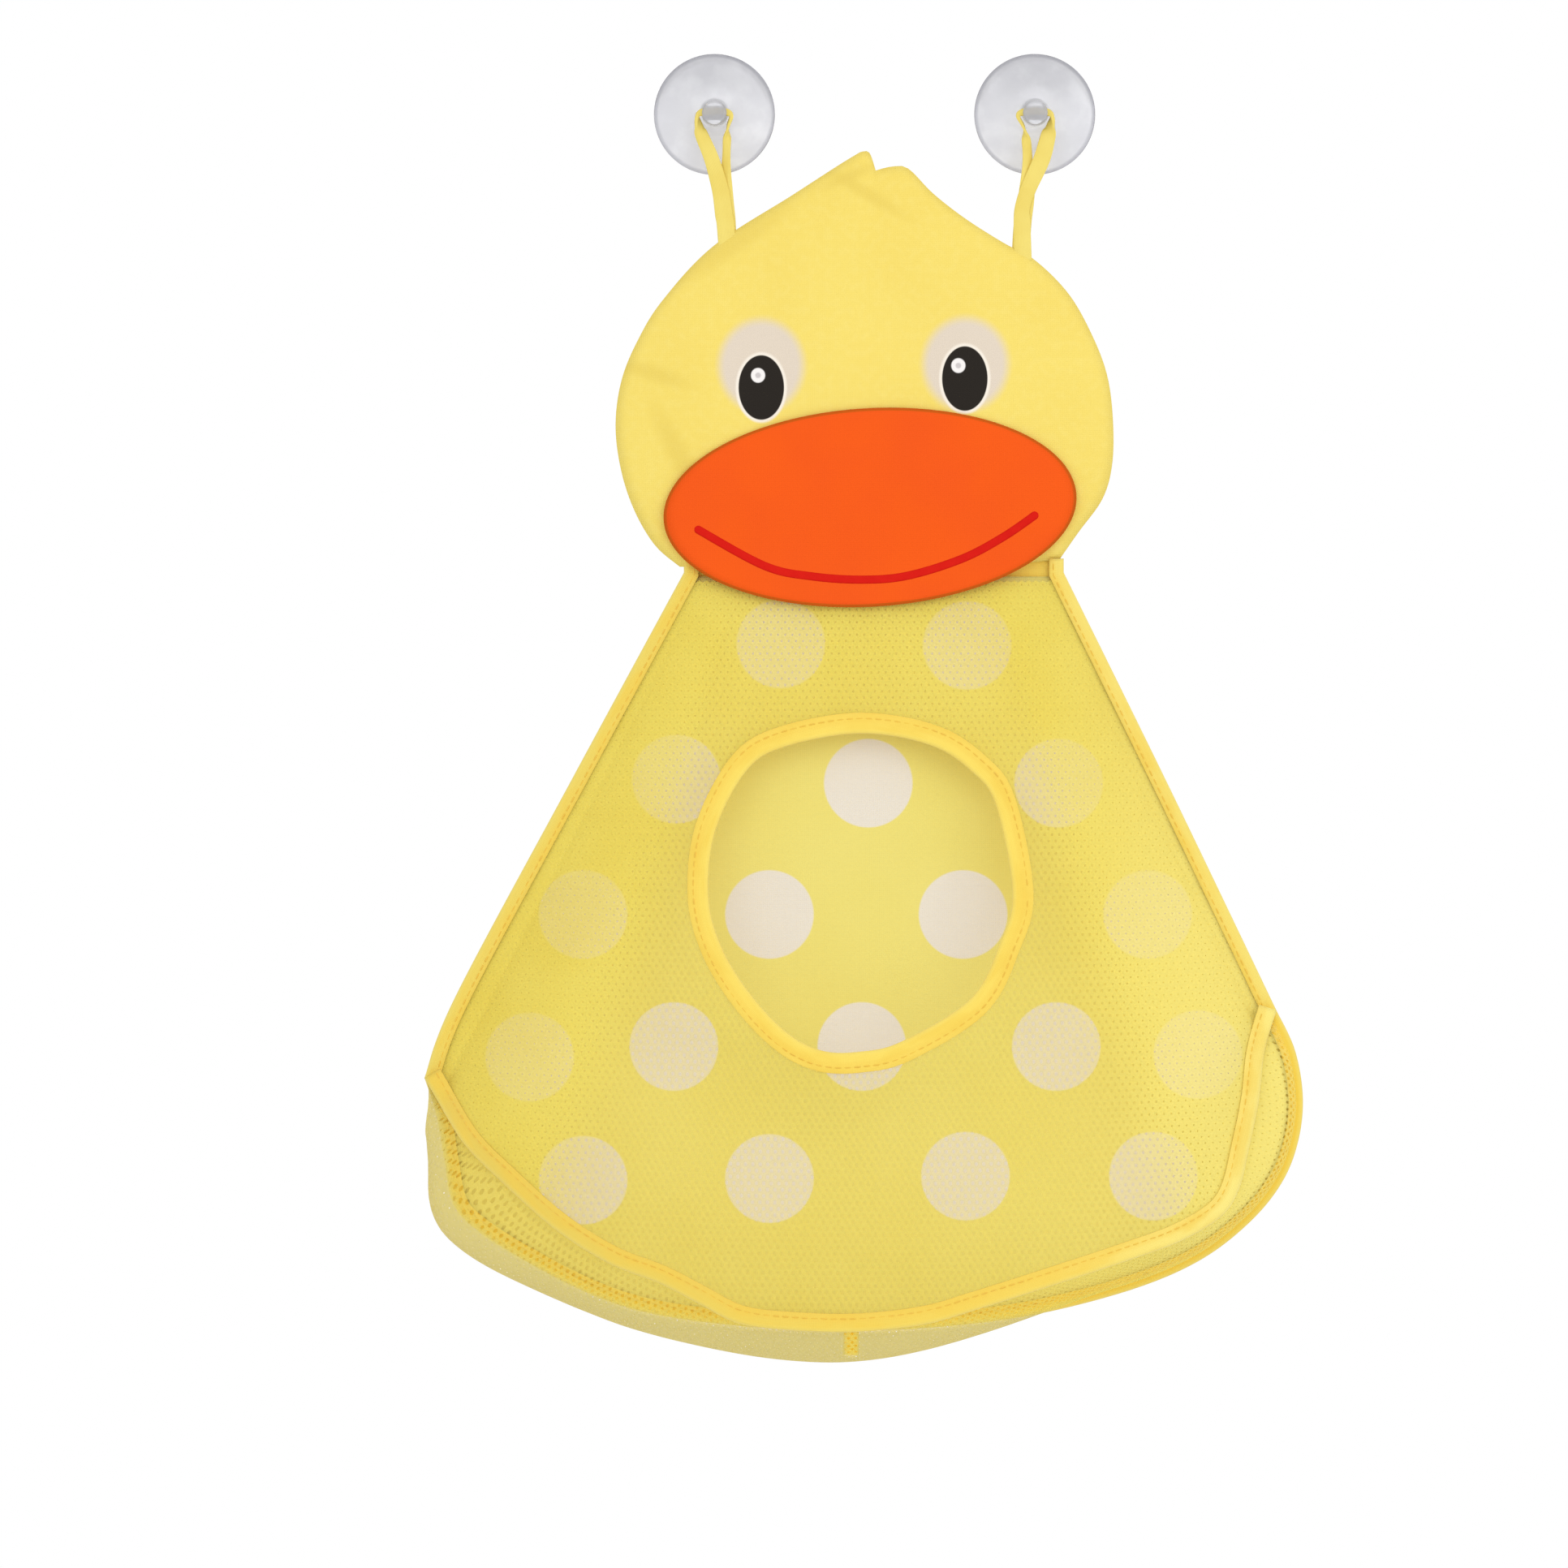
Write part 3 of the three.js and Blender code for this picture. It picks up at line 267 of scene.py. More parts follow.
def unit(vectors):
    """Vectors of length 1 in the same directions."""
    return vectors / np.maximum(1e-9, np.linalg.norm(vectors, axis=-1, keepdims=True))


SHARPEST_TURN = 0.4


def inwards(points, closed):
    """Offset direction to the left of the way along the points, long enough to mitre corners."""
    before = np.roll(points, 1, 0) if closed else np.concatenate([points[:1], points[:-1]])
    after = np.roll(points, -1, 0) if closed else np.concatenate([points[1:], points[-1:]])
    arriving, leaving = points - before, after - points
    for one, other in ((arriving, leaving), (leaving, arriving)):
        still = np.linalg.norm(one, axis=1) == 0
        one[still] = other[still]
    normal_in, normal_out = (unit(step[:, ::-1] * (-1, 1)) for step in (arriving, leaving))
    turn = np.maximum(SHARPEST_TURN, 1 + (normal_in * normal_out).sum(1))
    return (normal_in + normal_out) / turn[:, None]


def contains(outline, places):
    x, z = places[:, 0], places[:, 1]
    inside = np.zeros(len(places), bool)
    ends = np.roll(outline, -1, 0)
    for (ax, az), (bx, bz) in zip(outline, ends):
        if az == bz:
            continue
        crosses = ((az > z) != (bz > z)) & (x < ax + (z - az) / (bz - az) * (bx - ax))
        inside ^= crosses
    return inside


def joined(*runs):
    return np.concatenate([*[run[:-1] for run in runs[:-1]], runs[-1]])


EDGE_STEP = 2.4
HEAD_ROOM = (HEAD_HALF_WIDTH, HEAD_HEIGHT, HEAD_TOP_Z)
POCKET_ROOM = (POCKET_HALF_WIDTH, POCKET_HEIGHT, NECK_Z)
head_outline = joined(*[
    resample(share_points(shares, *HEAD_ROOM), step) for shares, step in (
        (HEAD_LEFT_SHARES, EDGE_STEP), (HEAD_TUFT_SHARES, EDGE_STEP / 2),
        (HEAD_RIGHT_SHARES, EDGE_STEP), (HEAD_NECK_SHARES, EDGE_STEP))
])[:-1]
head_centre = share_points(HEAD_CENTRE_SHARES, *HEAD_ROOM)
left_side, right_side, back_edge, front_edge = (
    resample(share_points(shares, *POCKET_ROOM), EDGE_STEP)
    for shares in (LEFT_SIDE_SHARES, RIGHT_SIDE_SHARES, BACK_EDGE_SHARES, FRONT_EDGE_SHARES))


def smooth(values, low, high):
    """0 below low, 1 above high, and a smooth run between."""
    share = np.clip((values - low) / (high - low), 0, 1)
    return share**2 * (3 - 2 * share)


def value_at(table, places):
    """Values that run smoothly through a table of places and values."""
    knots, values = np.array(table).T
    after = np.clip(np.searchsorted(knots, places), 1, len(knots) - 1)
    run = smooth(places, knots[after - 1], knots[after])
    return values[after - 1] + (values[after] - values[after - 1]) * run


# Depths
def pocket_bulge(x, z):
    down = np.maximum(0, (NECK_Z - z) / POCKET_HEIGHT)
    across = x - BAG_SHIFT
    neck, corner, corner_down = (
        np.where(across < 0, LEFT_SIDE_SHARES[end][k], RIGHT_SIDE_SHARES[end][k])
        for end, k in ((0, 0), (-1, 0), (-1, 1)))
    widening = np.minimum(1, down / corner_down)
    flare = FLARE_SHARE * np.minimum(1, np.maximum(0, down - corner_down) / FLARE_REACH_SHARE)
    width = np.abs(neck + (corner - neck) * widening) + flare
    slant = np.abs(corner - neck) * POCKET_HALF_WIDTH / (corner_down * POCKET_HEIGHT)
    half = POCKET_HALF_WIDTH * width - BULGE_MARGIN * np.hypot(1, slant)
    reach = np.minimum(1, np.abs(across) / half)
    return POCKET_DEPTH * down * (1 - reach**BULGE_EXPONENT)


def edge_distance(outline, places):
    """The least distance from each place to an outline."""
    least = np.full(len(places), np.inf)
    for a, b in zip(outline, np.roll(outline, -1, 0)):
        step = b - a
        length = (step**2).sum()
        if length == 0:
            continue
        share = np.clip(((places - a) @ step) / length, 0, 1)
        least = np.minimum(least, ((places - a - share[:, None] * step) ** 2).sum(1))
    return np.sqrt(least)


def head_crown(places):
    """The padding's height over a place: none at the head's edge, whole well inside it."""
    inside = np.clip(edge_distance(head_outline, places) / HEAD_SLOPE, 0, 1)
    return HEAD_CROWN * (1 - (1 - inside) ** CROWN_EXPONENT)


def bumps(places, size, seed, count=7):
    """A smooth uneven surface between -1 and 1, from waves in several directions."""
    random = np.random.default_rng(seed)
    total = np.zeros(len(places))
    for _ in range(count):
        angle = random.uniform(0, 2 * np.pi)
        pace = 2 * np.pi / (size * random.uniform(0.6, 1.6))
        phase = random.uniform(0, 2 * np.pi)
        along = places[:, 0] * math.cos(angle) + places[:, 1] * math.sin(angle)
        total += np.sin(along * pace + phase)
    greatest = 1.6
    return total / math.sqrt(count) / greatest


# Meshes
def add_mesh(name, points, quads, uv=None, tris=None, rounded=True, wrap=None):
    """A mesh object from points in millimetres; uv gives each point's place on its cloth.

    wrap gives the number of points in a ring and the ring's cloth length, for quads that
    close a ring of rings: their first points lie that much further along the cloth.
    """
    points = np.asarray(points, float)
    mesh = bpy.data.meshes.new(name)
    tris = np.zeros((0, 3), int) if tris is None else np.asarray(tris, int)
    quads = np.zeros((0, 4), int) if quads is None else np.asarray(quads, int)
    loops = np.concatenate([quads.ravel(), tris.ravel()])
    starts = np.concatenate([
        np.arange(len(quads)) * 4, quads.size + np.arange(len(tris)) * 3,
    ])
    mesh.vertices.add(len(points))
    mesh.vertices.foreach_set("co", (points * MM).astype(np.float32).ravel())
    mesh.loops.add(len(loops))
    mesh.loops.foreach_set("vertex_index", loops.astype(np.int32))
    mesh.polygons.add(len(starts))
    mesh.polygons.foreach_set("loop_start", starts.astype(np.int32))
    mesh.update(calc_edges=True)
    if uv is not None:
        layer = mesh.uv_layers.new(name="cloth")
        places = (np.asarray(uv) * MM)[loops]
        if wrap is not None:
            closing = np.arange(quads.size - 4 * wrap[0], quads.size)
            closing = closing[loops[closing] < wrap[0]]
            places[closing, 0] += wrap[1] * MM
        layer.data.foreach_set("uv", places.astype(np.float32).ravel())
    mesh.polygons.foreach_set("use_smooth", np.full(len(mesh.polygons), rounded))
    mesh.validate()
    return add_object(name, mesh)


def turned_out(thing, caps=()):
    """Closes a mesh by faces over runs of its points, and makes every face point out."""
    mesh = bmesh.new()
    mesh.from_mesh(thing.data)
    mesh.verts.ensure_lookup_table()
    for cap in caps:
        mesh.faces.new([mesh.verts[i] for i in cap])
    bmesh.ops.recalc_face_normals(mesh, faces=mesh.faces)
    mesh.to_mesh(thing.data)
    mesh.free()
    return thing


def grid_quads(rows, columns, closed=False):
    """Quads over rows of points, each row with that many columns."""
    across = columns if closed else columns - 1
    i, j = np.meshgrid(np.arange(rows - 1), np.arange(across), indexing="ij")
    k = (j + 1) % columns
    return np.stack([
        i * columns + j, i * columns + k, (i + 1) * columns + k, (i + 1) * columns + j,
    ], -1).reshape(-1, 4)


def tube(name, rings, uv=None, closed=False):
    """Rings of equally many points, joined, with caps unless the tube closes on itself."""
    rings = np.asarray(rings, float)
    count, sides = rings.shape[:2]
    total = count * sides
    wrap = (sides, uv[:, 0].max() * count / (count - 1)) if closed else None
    quads = grid_quads(count + closed, sides, closed=True) % total
    thing = add_mesh(name, rings.reshape(-1, 3), quads, uv, wrap=wrap)
    return turned_out(thing, [] if closed else [range(sides), range(total - 1, total - sides - 1, -1)])


def two_sided(name, front, back, rim, places, quads, tris=None):
    """A closed solid: the same faces on a front and on a back, and walls along their rim."""
    size = len(front)
    after = np.roll(rim, -1)
    walls = np.stack([rim, after, after + size, rim + size], 1)
    tris = None if tris is None else np.concatenate([tris, tris[:, ::-1] + size])
    return turned_out(add_mesh(
        name, np.concatenate([front, back]), np.concatenate([quads, quads[:, ::-1] + size, walls]),
        np.concatenate([places, places]), tris,
    ))


def at_depth(places, y):
    """Points in space from places in the picture's plane and their depths."""
    return np.stack([places[:, 0], y, places[:, 1]], 1)


RING_SPREAD = 0.8


def crowned_sheet(name, outline, centre, rings, front_at, back_at=None):
    """A closed sheet whose rings draw in from an outline to a centre, between two depths.

    Without back_at its back lies a cloth's thickness behind its front.
    """
    shares = 1 - (np.arange(rings) / rings) ** RING_SPREAD
    places = np.concatenate([*[centre + (outline - centre) * share for share in shares], centre[None]])
    count, last = len(outline), len(places) - 1
    reach = np.concatenate([np.repeat(shares, count), [0]])
    front_y = front_at(places, reach)
    back_y = back_at(places, reach) if back_at else front_y + CLOTH * CLOTH_WALL_SHARE
    inner = last - count + np.arange(count)
    fan = np.stack([inner, np.roll(inner, -1), np.full(count, last)], 1)
    return two_sided(
        name, at_depth(places, front_y), at_depth(places, back_y), np.arange(count), places,
        grid_quads(rings, count, closed=True), fan)


def thin_slab(name, front, back, columns, places):
    """A closed slab between two grids of points."""
    index = np.arange(len(front)).reshape(-1, columns)
    rim = np.concatenate([index[0], index[1:, -1], index[-1, -2::-1], index[-2:0:-1, 0]])
    return two_sided(name, front, back, rim, places, grid_quads(len(index), columns))


# Material nodes
CLOTH_SHINE = 0.15


def colour(red, green, blue):
    """A colour as the eye reads it, from 0 to 255, in the renderer's linear values."""
    def linear(value):
        value /= 255
        return value / 12.92 if value <= 0.04045 else ((value + 0.055) / 1.055) ** 2.4
    return (linear(red), linear(green), linear(blue), 1)


class Nodes:
    """Short ways to add nodes to the node tree of a material or of the world."""

    def __init__(self, owner):
        owner.use_nodes = True
        self.tree = owner.node_tree

    def put(self, socket, value):
        """Sets a socket to a value, or links it where the value is another node's socket."""
        if isinstance(value, bpy.types.NodeSocket):
            self.tree.links.new(value, socket)
        else:
            socket.default_value = value

    def node(self, kind, sockets=None, **settings):
        made = self.tree.nodes.new(f"ShaderNode{kind}")
        for name, value in settings.items():
            setattr(made, name, value)
        for name, value in (sockets or {}).items():
            self.put(made.inputs[name], value)
        return made

    def vector(self, operation, first, second=(0, 0, 0)):
        made = self.node("VectorMath", {0: first, 1: second}, operation=operation)
        return made.outputs["Value" if operation == "LENGTH" else "Vector"]

    def number_of(self, vector, axis):
        return self.node("SeparateXYZ", {0: vector}).outputs[axis]

    def maths(self, operation, *values):
        return self.node("Math", dict(enumerate(values)), operation=operation).outputs[0]

    def ramp(self, value, low, high, to_low=0.0, to_high=1.0):
        sockets = {"Value": value, "From Min": low, "From Max": high, "To Min": to_low, "To Max": to_high}
        return self.node("MapRange", sockets, interpolation_type="SMOOTHSTEP").outputs["Result"]


class Finish(Nodes):
    """A Principled material, which its methods paint and roughen."""

    def __init__(self, name, base, roughness, **sockets):
        self.material = bpy.data.materials.new(name)
        super().__init__(self.material)
        self.shader = self.tree.nodes["Principled BSDF"]
        sockets = {"Roughness": roughness, "Specular_IOR_Level": CLOTH_SHINE, **sockets}
        for socket, value in sockets.items():
            self.shader.inputs[socket.replace("_", " ")].default_value = value
        self.colour = base
        self.place = self.node("UVMap", uv_map="cloth").outputs["UV"]

    def noise(self, size, detail=2, place=None):
        """Uneven values whose patches are about that many millimetres wide."""
        sockets = {"Scale": 1 / (size * MM), "Detail": detail, "Vector": place or self.place}
        return self.node("TexNoise", sockets).outputs["Fac"]

    def threads(self, pitch, direction):
        """Ridges of thread, that many millimetres apart."""
        sockets = {"Scale": 2 * math.pi / (pitch * MM) / 20, "Distortion": 0.6, "Detail": 1.0,
                   "Detail Scale": 0.2, "Vector": self.place}
        return self.node("TexWave", sockets, wave_type="BANDS", bands_direction=direction).outputs["Fac"]

    def paint(self, mask, shade):
        """Lays a colour over what is there, by a mask."""
        sockets = {"Factor": mask, "A": self.colour, "B": shade}
        self.colour = self.node("Mix", sockets, data_type="RGBA").outputs["Result"]

    def mottle(self, size, amount, shade, detail=2, low=0.35, high=0.7):
        """Uneven patches of another shade, about that many millimetres wide."""
        self.paint(self.ramp(self.noise(size, detail), low, high, 0, amount), shade)

    def spot(self, centre, radii, soft, turn=0.0):
        """A mask that is 1 inside an ellipse; soft is the share of its radius that fades."""
        place = self.vector("SUBTRACT", self.place, (centre[0] * MM, centre[1] * MM, 0))
        if turn:
            sockets = {"Vector": place, "Angle": -turn}
            place = self.node("VectorRotate", sockets, rotation_type="Z_AXIS").outputs["Vector"]
        place = self.vector("MULTIPLY", place, (1 / (radii[0] * MM), 1 / (radii[1] * MM), 0))
        return self.ramp(self.vector("LENGTH", place), 1 - soft / 2, 1 + soft / 2, 1, 0)

    def bump(self, height, distance, strength=1.0):
        """Adds relief, with its depth in millimetres, to the relief that is there."""
        made = self.node("Bump", {"Height": height, "Distance": distance * MM, "Strength": strength})
        normal = self.shader.inputs["Normal"]
        if normal.is_linked:
            self.put(made.inputs["Normal"], normal.links[0].from_socket)
        self.put(normal, made.outputs["Normal"])

    def clear_by(self, share):
        """Makes the stuff see-through by a share, which is another node's socket."""
        clear = self.node("BsdfTransparent").outputs[0]
        mixed = self.node("MixShader", {0: share, 1: self.shader.outputs[0], 2: clear})
        self.put(self.tree.nodes["Material Output"].inputs["Surface"], mixed.outputs[0])

    def pass_lamp_light(self, share):
        """Lets a share of the lamps' light through, so that the stuff throws a soft shadow."""
        shadow_ray = self.node("LightPath").outputs["Is Shadow Ray"]
        self.clear_by(self.maths("MULTIPLY", shadow_ray, share))

    def done(self):
        self.put(self.shader.inputs["Base Color"], self.colour)
        return self.material


def weave(finish, shade, amount, pitch=0.7, depth=0.05):
    """Plain weave: crossed threads in the bump and a little in the colour."""
    warp, weft = finish.threads(pitch, "X"), finish.threads(pitch, "Y")
    height = finish.maths("MULTIPLY", warp, weft)
    finish.paint(finish.maths("MULTIPLY", height, amount), shade)
    finish.bump(height, depth)


def finished(thing, finish, slot, body=None, *replaced):
    """Gives a piece its material, the body that it rides on and the solids it replaces; its slot is not
    used.
    """
    thing.data.materials.clear()
    thing.data.materials.append(finish.done())
    if body:
        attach(thing, body)
    if replaced:
        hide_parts(*replaced)
    return thing


# Materials
# Painted shade along soft creases in the head's cloth: places, radii and turns
HEAD_CREASE_SHADES = [
    ((1066, 236), (14, 2.2), -0.55), ((1046, 216), (10, 1.8), 0.4), ((806, 460), (11, 2.6), -0.3),
    ((836, 560), (16, 3.5), -1.1), ((905, 300), (22, 3.0), 0.6),
]
EYES = [
    {"ring": (938, 450), "pupil": (938, 477), "glint": (934, 462)},
    {"ring": (1190, 448), "pupil": (1189, 466), "glint": (1181, 450)},
]
EYE_PRINTS = [
    ("ring", (14.9, 16.2), 0.32, colour(226, 212, 194)), ("pupil", (9.1, 12.5), 0.1, colour(247, 238, 224)),
    ("pupil", (8.1, 11.5), 0.04, colour(34, 29, 26)), ("glint", (2.5, 2.6), 0.2, colour(246, 242, 240)),
    ("glint", (1.0, 1.0), 0.6, colour(206, 200, 200)),
]

head_cloth = Finish("head cloth", colour(246, 222, 112), 0.82,
                    Sheen_Weight=0.25, Sheen_Roughness=0.5, Sheen_Tint=colour(255, 244, 190))
head_cloth.mottle(55, 0.35, colour(241, 212, 98))
head_cloth.mottle(3, 0.18, colour(251, 233, 140), 3, 0.4, 0.7)
weave(head_cloth, colour(232, 206, 96), 0.25)
head_cloth.bump(head_cloth.noise(28), 0.5, 0.5)
# Painted shade in the creases, laid over the cloth's colour
for place, radii, turn in HEAD_CREASE_SHADES:
    crease_shade = head_cloth.spot(from_photo(*place), radii, 1.6, turn)
    head_cloth.paint(head_cloth.maths("MULTIPLY", crease_shade, 0.6), colour(232, 205, 96))
for eye in EYES:
    for place, radii, soft, shade in EYE_PRINTS:
        head_cloth.paint(head_cloth.spot(from_photo(*eye[place]), radii, soft), shade)

plain_head_cloth = Finish("plain head cloth", colour(244, 221, 116), 0.85, Sheen_Weight=0.2)
plain_head_cloth.mottle(50, 0.4, colour(238, 212, 102))
weave(plain_head_cloth, colour(228, 204, 98), 0.25)

bill_centre = np.array([BAG_SHIFT + BILL_SHIFT, HEAD_TOP_Z - BILL_DROP])
bill_cloth = Finish("bill cloth", colour(246, 91, 12), 0.7)
bill_cloth.mottle(30, 0.5, colour(240, 84, 18))
weave(bill_cloth, colour(238, 84, 20), 0.3)
bill_cloth.bump(bill_cloth.noise(22), 0.5, 0.5)
inside_rim = bill_cloth.spot(
    bill_centre, (BILL_HALF_WIDTH - BILL_RIM, BILL_HALF_HEIGHT - BILL_RIM), 0.012, BILL_TILT)
bill_cloth.paint(bill_cloth.maths("SUBTRACT", 1.0, inside_rim), colour(206, 92, 10))

smile_print = Finish("smile print", colour(214, 16, 2), 0.7)
smile_print.mottle(5, 0.5, colour(222, 24, 6))
smile_print.bump(smile_print.noise(1.2), 0.08)

DOTS = [
    (962, 793), (1192, 795), (833, 960), (1070, 965), (1305, 965), (718, 1127), (948, 1127),
    (1187, 1127), (1415, 1127), (652, 1303), (830, 1290), (1062, 1290), (1302, 1290), (1477, 1300),
    (718, 1455), (948, 1453), (1190, 1450), (1422, 1450),
]
DOT_RADIUS = 15.75
dotted_cloth = Finish("dotted cloth", colour(238, 224, 124), 0.84, Sheen_Weight=0.2, Sheen_Roughness=0.5)
dotted_cloth.mottle(60, 0.4, colour(233, 216, 108))
for centre in DOTS:
    dot = dotted_cloth.spot(from_photo(*centre), (DOT_RADIUS, DOT_RADIUS), 0.05)
    dotted_cloth.paint(dot, colour(234, 226, 214))
weave(dotted_cloth, colour(222, 204, 108), 0.2)
dotted_cloth.bump(dotted_cloth.noise(25), 0.6, 0.5)

thread = Finish("stitching thread", colour(240, 200, 72), 0.55, Sheen_Weight=0.3)
thread.mottle(6, 0.5, colour(232, 184, 60))
thread.bump(thread.noise(0.3, 1), 0.05)

satin = Finish("satin ribbon", colour(241, 219, 110), 0.42, Specular_IOR_Level=0.4)
satin.mottle(14, 0.6, colour(234, 207, 92))
satin.bump(satin.threads(0.4, "Y"), 0.04)

wadding = Finish("wadding", colour(244, 242, 234), 0.95, Sheen_Weight=0.4)
wadding.mottle(4, 0.6, colour(232, 230, 222), 3)
wadding.bump(wadding.noise(1.5, 3), 0.4)

# Clear vinyl, a little milky, with painted shade near the cup's rim, where it is seen edge on
vinyl = Finish("clear vinyl", colour(205, 205, 209), 0.2,
               Transmission_Weight=0.55, IOR=1.42, Specular_IOR_Level=0.5)
vinyl_place = vinyl.node("TexCoord").outputs["Object"]
milk = vinyl.noise(9, 3, vinyl_place)
vinyl.paint(vinyl.ramp(milk, 0.4, 0.7, 0, 0.7), colour(220, 220, 223))
sideways = vinyl.maths("ABSOLUTE", vinyl.number_of(vinyl_place, "X"))
offsets = vinyl.maths("SUBTRACT", sideways, CUP_SPACING / 2 * MM), vinyl.number_of(vinyl_place, "Z")
squares = [vinyl.maths("POWER", offset, 2.0) for offset in offsets]
radius = vinyl.maths("SQRT", vinyl.maths("ADD", *squares))
# Painted shade along the cup's rim
rim_shade = vinyl.ramp(radius, (CUP_RADIUS - 1.8) * MM, (CUP_RADIUS - 0.6) * MM)
vinyl.paint(rim_shade, colour(178, 178, 184))
vinyl.bump(milk, 0.25, 0.35)
vinyl.pass_lamp_light(0.8)


def yarn_finish(name, base, shade, opacities, painted_light_from, covered=None):
    """Thin knitted yarn, which lets a part of the light through, less where its strands lie close.

    From a place given in millimetres across the cloth, painted light makes it paler towards the right; the
    covered colour, where the strands lie close, is painted shade.
    """
    finish = Finish(name, base, 0.85, Sheen_Weight=0.2, Sheen_Tint=colour(255, 234, 130))
    finish.mottle(40, 0.5, shade)
    cover = finish.node("Attribute", attribute_name="cover").outputs["Fac"]
    if covered is not None:
        # Painted shade where the strands lie close
        finish.paint(cover, covered)
    # Painted light: paler towards the right
    painted_light_right = finish.ramp(finish.number_of(finish.place, "X"), painted_light_from * MM, (painted_light_from + 80) * MM)
    finish.paint(painted_light_right, colour(255, 242, 140))
    finish.put(finish.shader.inputs["Alpha"], finish.ramp(cover, 0, 1, *opacities))
    finish.pass_lamp_light(0.7)
    return finish


def tape_finish(name, base, *light_and_shade_bands):
    """Binding tape; its cloth place runs along the tape, then across it from the fold.

    Each band is a start and an end along the tape, in millimetres, and a colour from there on; the bands
    are painted light and shade.
    """
    finish = Finish(name, base, 0.62, Sheen_Weight=0.2)
    for start, end, shade in light_and_shade_bands:
        finish.paint(finish.ramp(finish.number_of(finish.place, "X"), start * MM, end * MM), shade)
    puckered = finish.vector("MULTIPLY", finish.place, (0.35, 1, 1))
    finish.paint(finish.ramp(finish.noise(6, 2, puckered), 0.42, 0.68, 0, 0.5), colour(243, 206, 78))
    across = finish.maths("ABSOLUTE", finish.number_of(finish.place, "Y"))
    # Painted shade towards the tape's stitched edges
    finish.paint(finish.ramp(across, 2.6 * MM, 4.2 * MM, 0, 0.35), colour(244, 204, 80))
    # Painted highlight along the tape's fold
    finish.paint(finish.ramp(across, 0.0, 2.0 * MM, 0.5, 0), colour(250, 232, 124))
    weave(finish, colour(238, 200, 74), 0.3, 0.55, 0.06)
    finish.bump(finish.noise(5, 2, puckered), 0.5, 0.6)
    return finish


# Both yarns get painted light towards the right; the gusset's yarn also gets painted shade where its
# strands lie close
net_yarn = yarn_finish("net yarn", colour(245, 229, 108), colour(240, 219, 88), (0.16, 0.44), 50)
gusset_yarn = yarn_finish(
    "gusset yarn", colour(254, 238, 122), colour(252, 230, 104), (0.25, 0.5), 270, colour(229, 214, 126))
tape = tape_finish("binding tape", colour(250, 222, 100))
tab_tape = tape_finish("tab tape", colour(246, 198, 52))


# Suction cups
KNOB_FRONT_DOME = 0.35
CUP_SIDES = 96
HOLE_SIDES = 48
SIDES = (("left", -1), ("right", 1))


def quadratic(start, control, end, count=8):
    share = np.linspace(0, 1, count + 1)[1:, None]
    start, control, end = (np.array(p, float) for p in (start, control, end))
    return (1 - share) ** 2 * start + 2 * share * (1 - share) * control + share**2 * end


def suction_cup(name, side):
    rim_round = CUP_RIM_THICKNESS / 2
    knob_top = (KNOB_RADIUS - KNOB_EDGE_ROUND, KNOB_FRONT_Y)
    knob_side = (KNOB_RADIUS, KNOB_FRONT_Y + KNOB_EDGE_ROUND)
    root = (KNOB_RADIUS, CUP_CROWN_Y - KNOB_ROOT_FILLET)
    crown = (KNOB_RADIUS + KNOB_ROOT_FILLET, CUP_CROWN_Y)
    profile = np.concatenate([
        np.linspace((0, KNOB_FRONT_Y - KNOB_FRONT_DOME), knob_top, 4)[1:],
        quadratic(knob_top, (KNOB_RADIUS, KNOB_FRONT_Y), knob_side),
        np.linspace(knob_side, root, 7)[1:],
        quadratic(root, (KNOB_RADIUS, CUP_CROWN_Y), crown),
        quadratic(crown, (CUP_RADIUS / 2, CUP_CROWN_Y), (CUP_RADIUS - rim_round, -CUP_RIM_THICKNESS), 20),
        quadratic((CUP_RADIUS - rim_round, -CUP_RIM_THICKNESS), (CUP_RADIUS, -CUP_RIM_THICKNESS),
                  (CUP_RADIUS, -rim_round), 4),
        quadratic((CUP_RADIUS, -rim_round), (CUP_RADIUS, 0), (CUP_RADIUS - rim_round, 0), 4),
        np.linspace((CUP_RADIUS - rim_round, 0), (CUP_RADIUS - CUP_RIM_LAND, 0), 4)[1:],
        quadratic((CUP_RADIUS - CUP_RIM_LAND, 0), (CUP_RADIUS / 2, -CUP_CAVITY_DEPTH),
                  (0.4, -CUP_CAVITY_DEPTH), 20),
    ])
    angles = np.arange(CUP_SIDES) * 2 * np.pi / CUP_SIDES
    centre_x = side * CUP_SPACING / 2
    rings = np.stack([np.stack([
        centre_x + radius * np.cos(angles), np.full(CUP_SIDES, y), radius * np.sin(angles),
    ], 1) for radius, y in profile])
    cup = tube(name, rings)
    bpy.ops.mesh.primitive_cylinder_add(
        radius=KNOB_HOLE_RADIUS * MM, depth=4 * KNOB_RADIUS * MM, vertices=HOLE_SIDES,
        location=Vector((centre_x, HANG_Y, 0)) * MM, rotation=(0, math.pi / 2, 0),
    )
    drill = bpy.context.object
    hole = cup.modifiers.new("hole", "BOOLEAN")
    hole.operation = "DIFFERENCE"
    hole.solver = "EXACT"
    hole.object = drill
    bpy.context.view_layer.objects.active = cup
    bpy.ops.object.modifier_apply(modifier=hole.name)
    bpy.data.objects.remove(drill)
    bpy.ops.object.select_all(action="DESELECT")
    cup.select_set(True)
    bpy.ops.object.shade_smooth_by_angle(angle=math.radians(40))
    return cup


for word, side in SIDES:
    cup = suction_cup(f"{word}_cup_clear", side)
    finished(cup, vinyl, "clear_vinyl", f"{word}_cup", f"{word}_suction_cup")


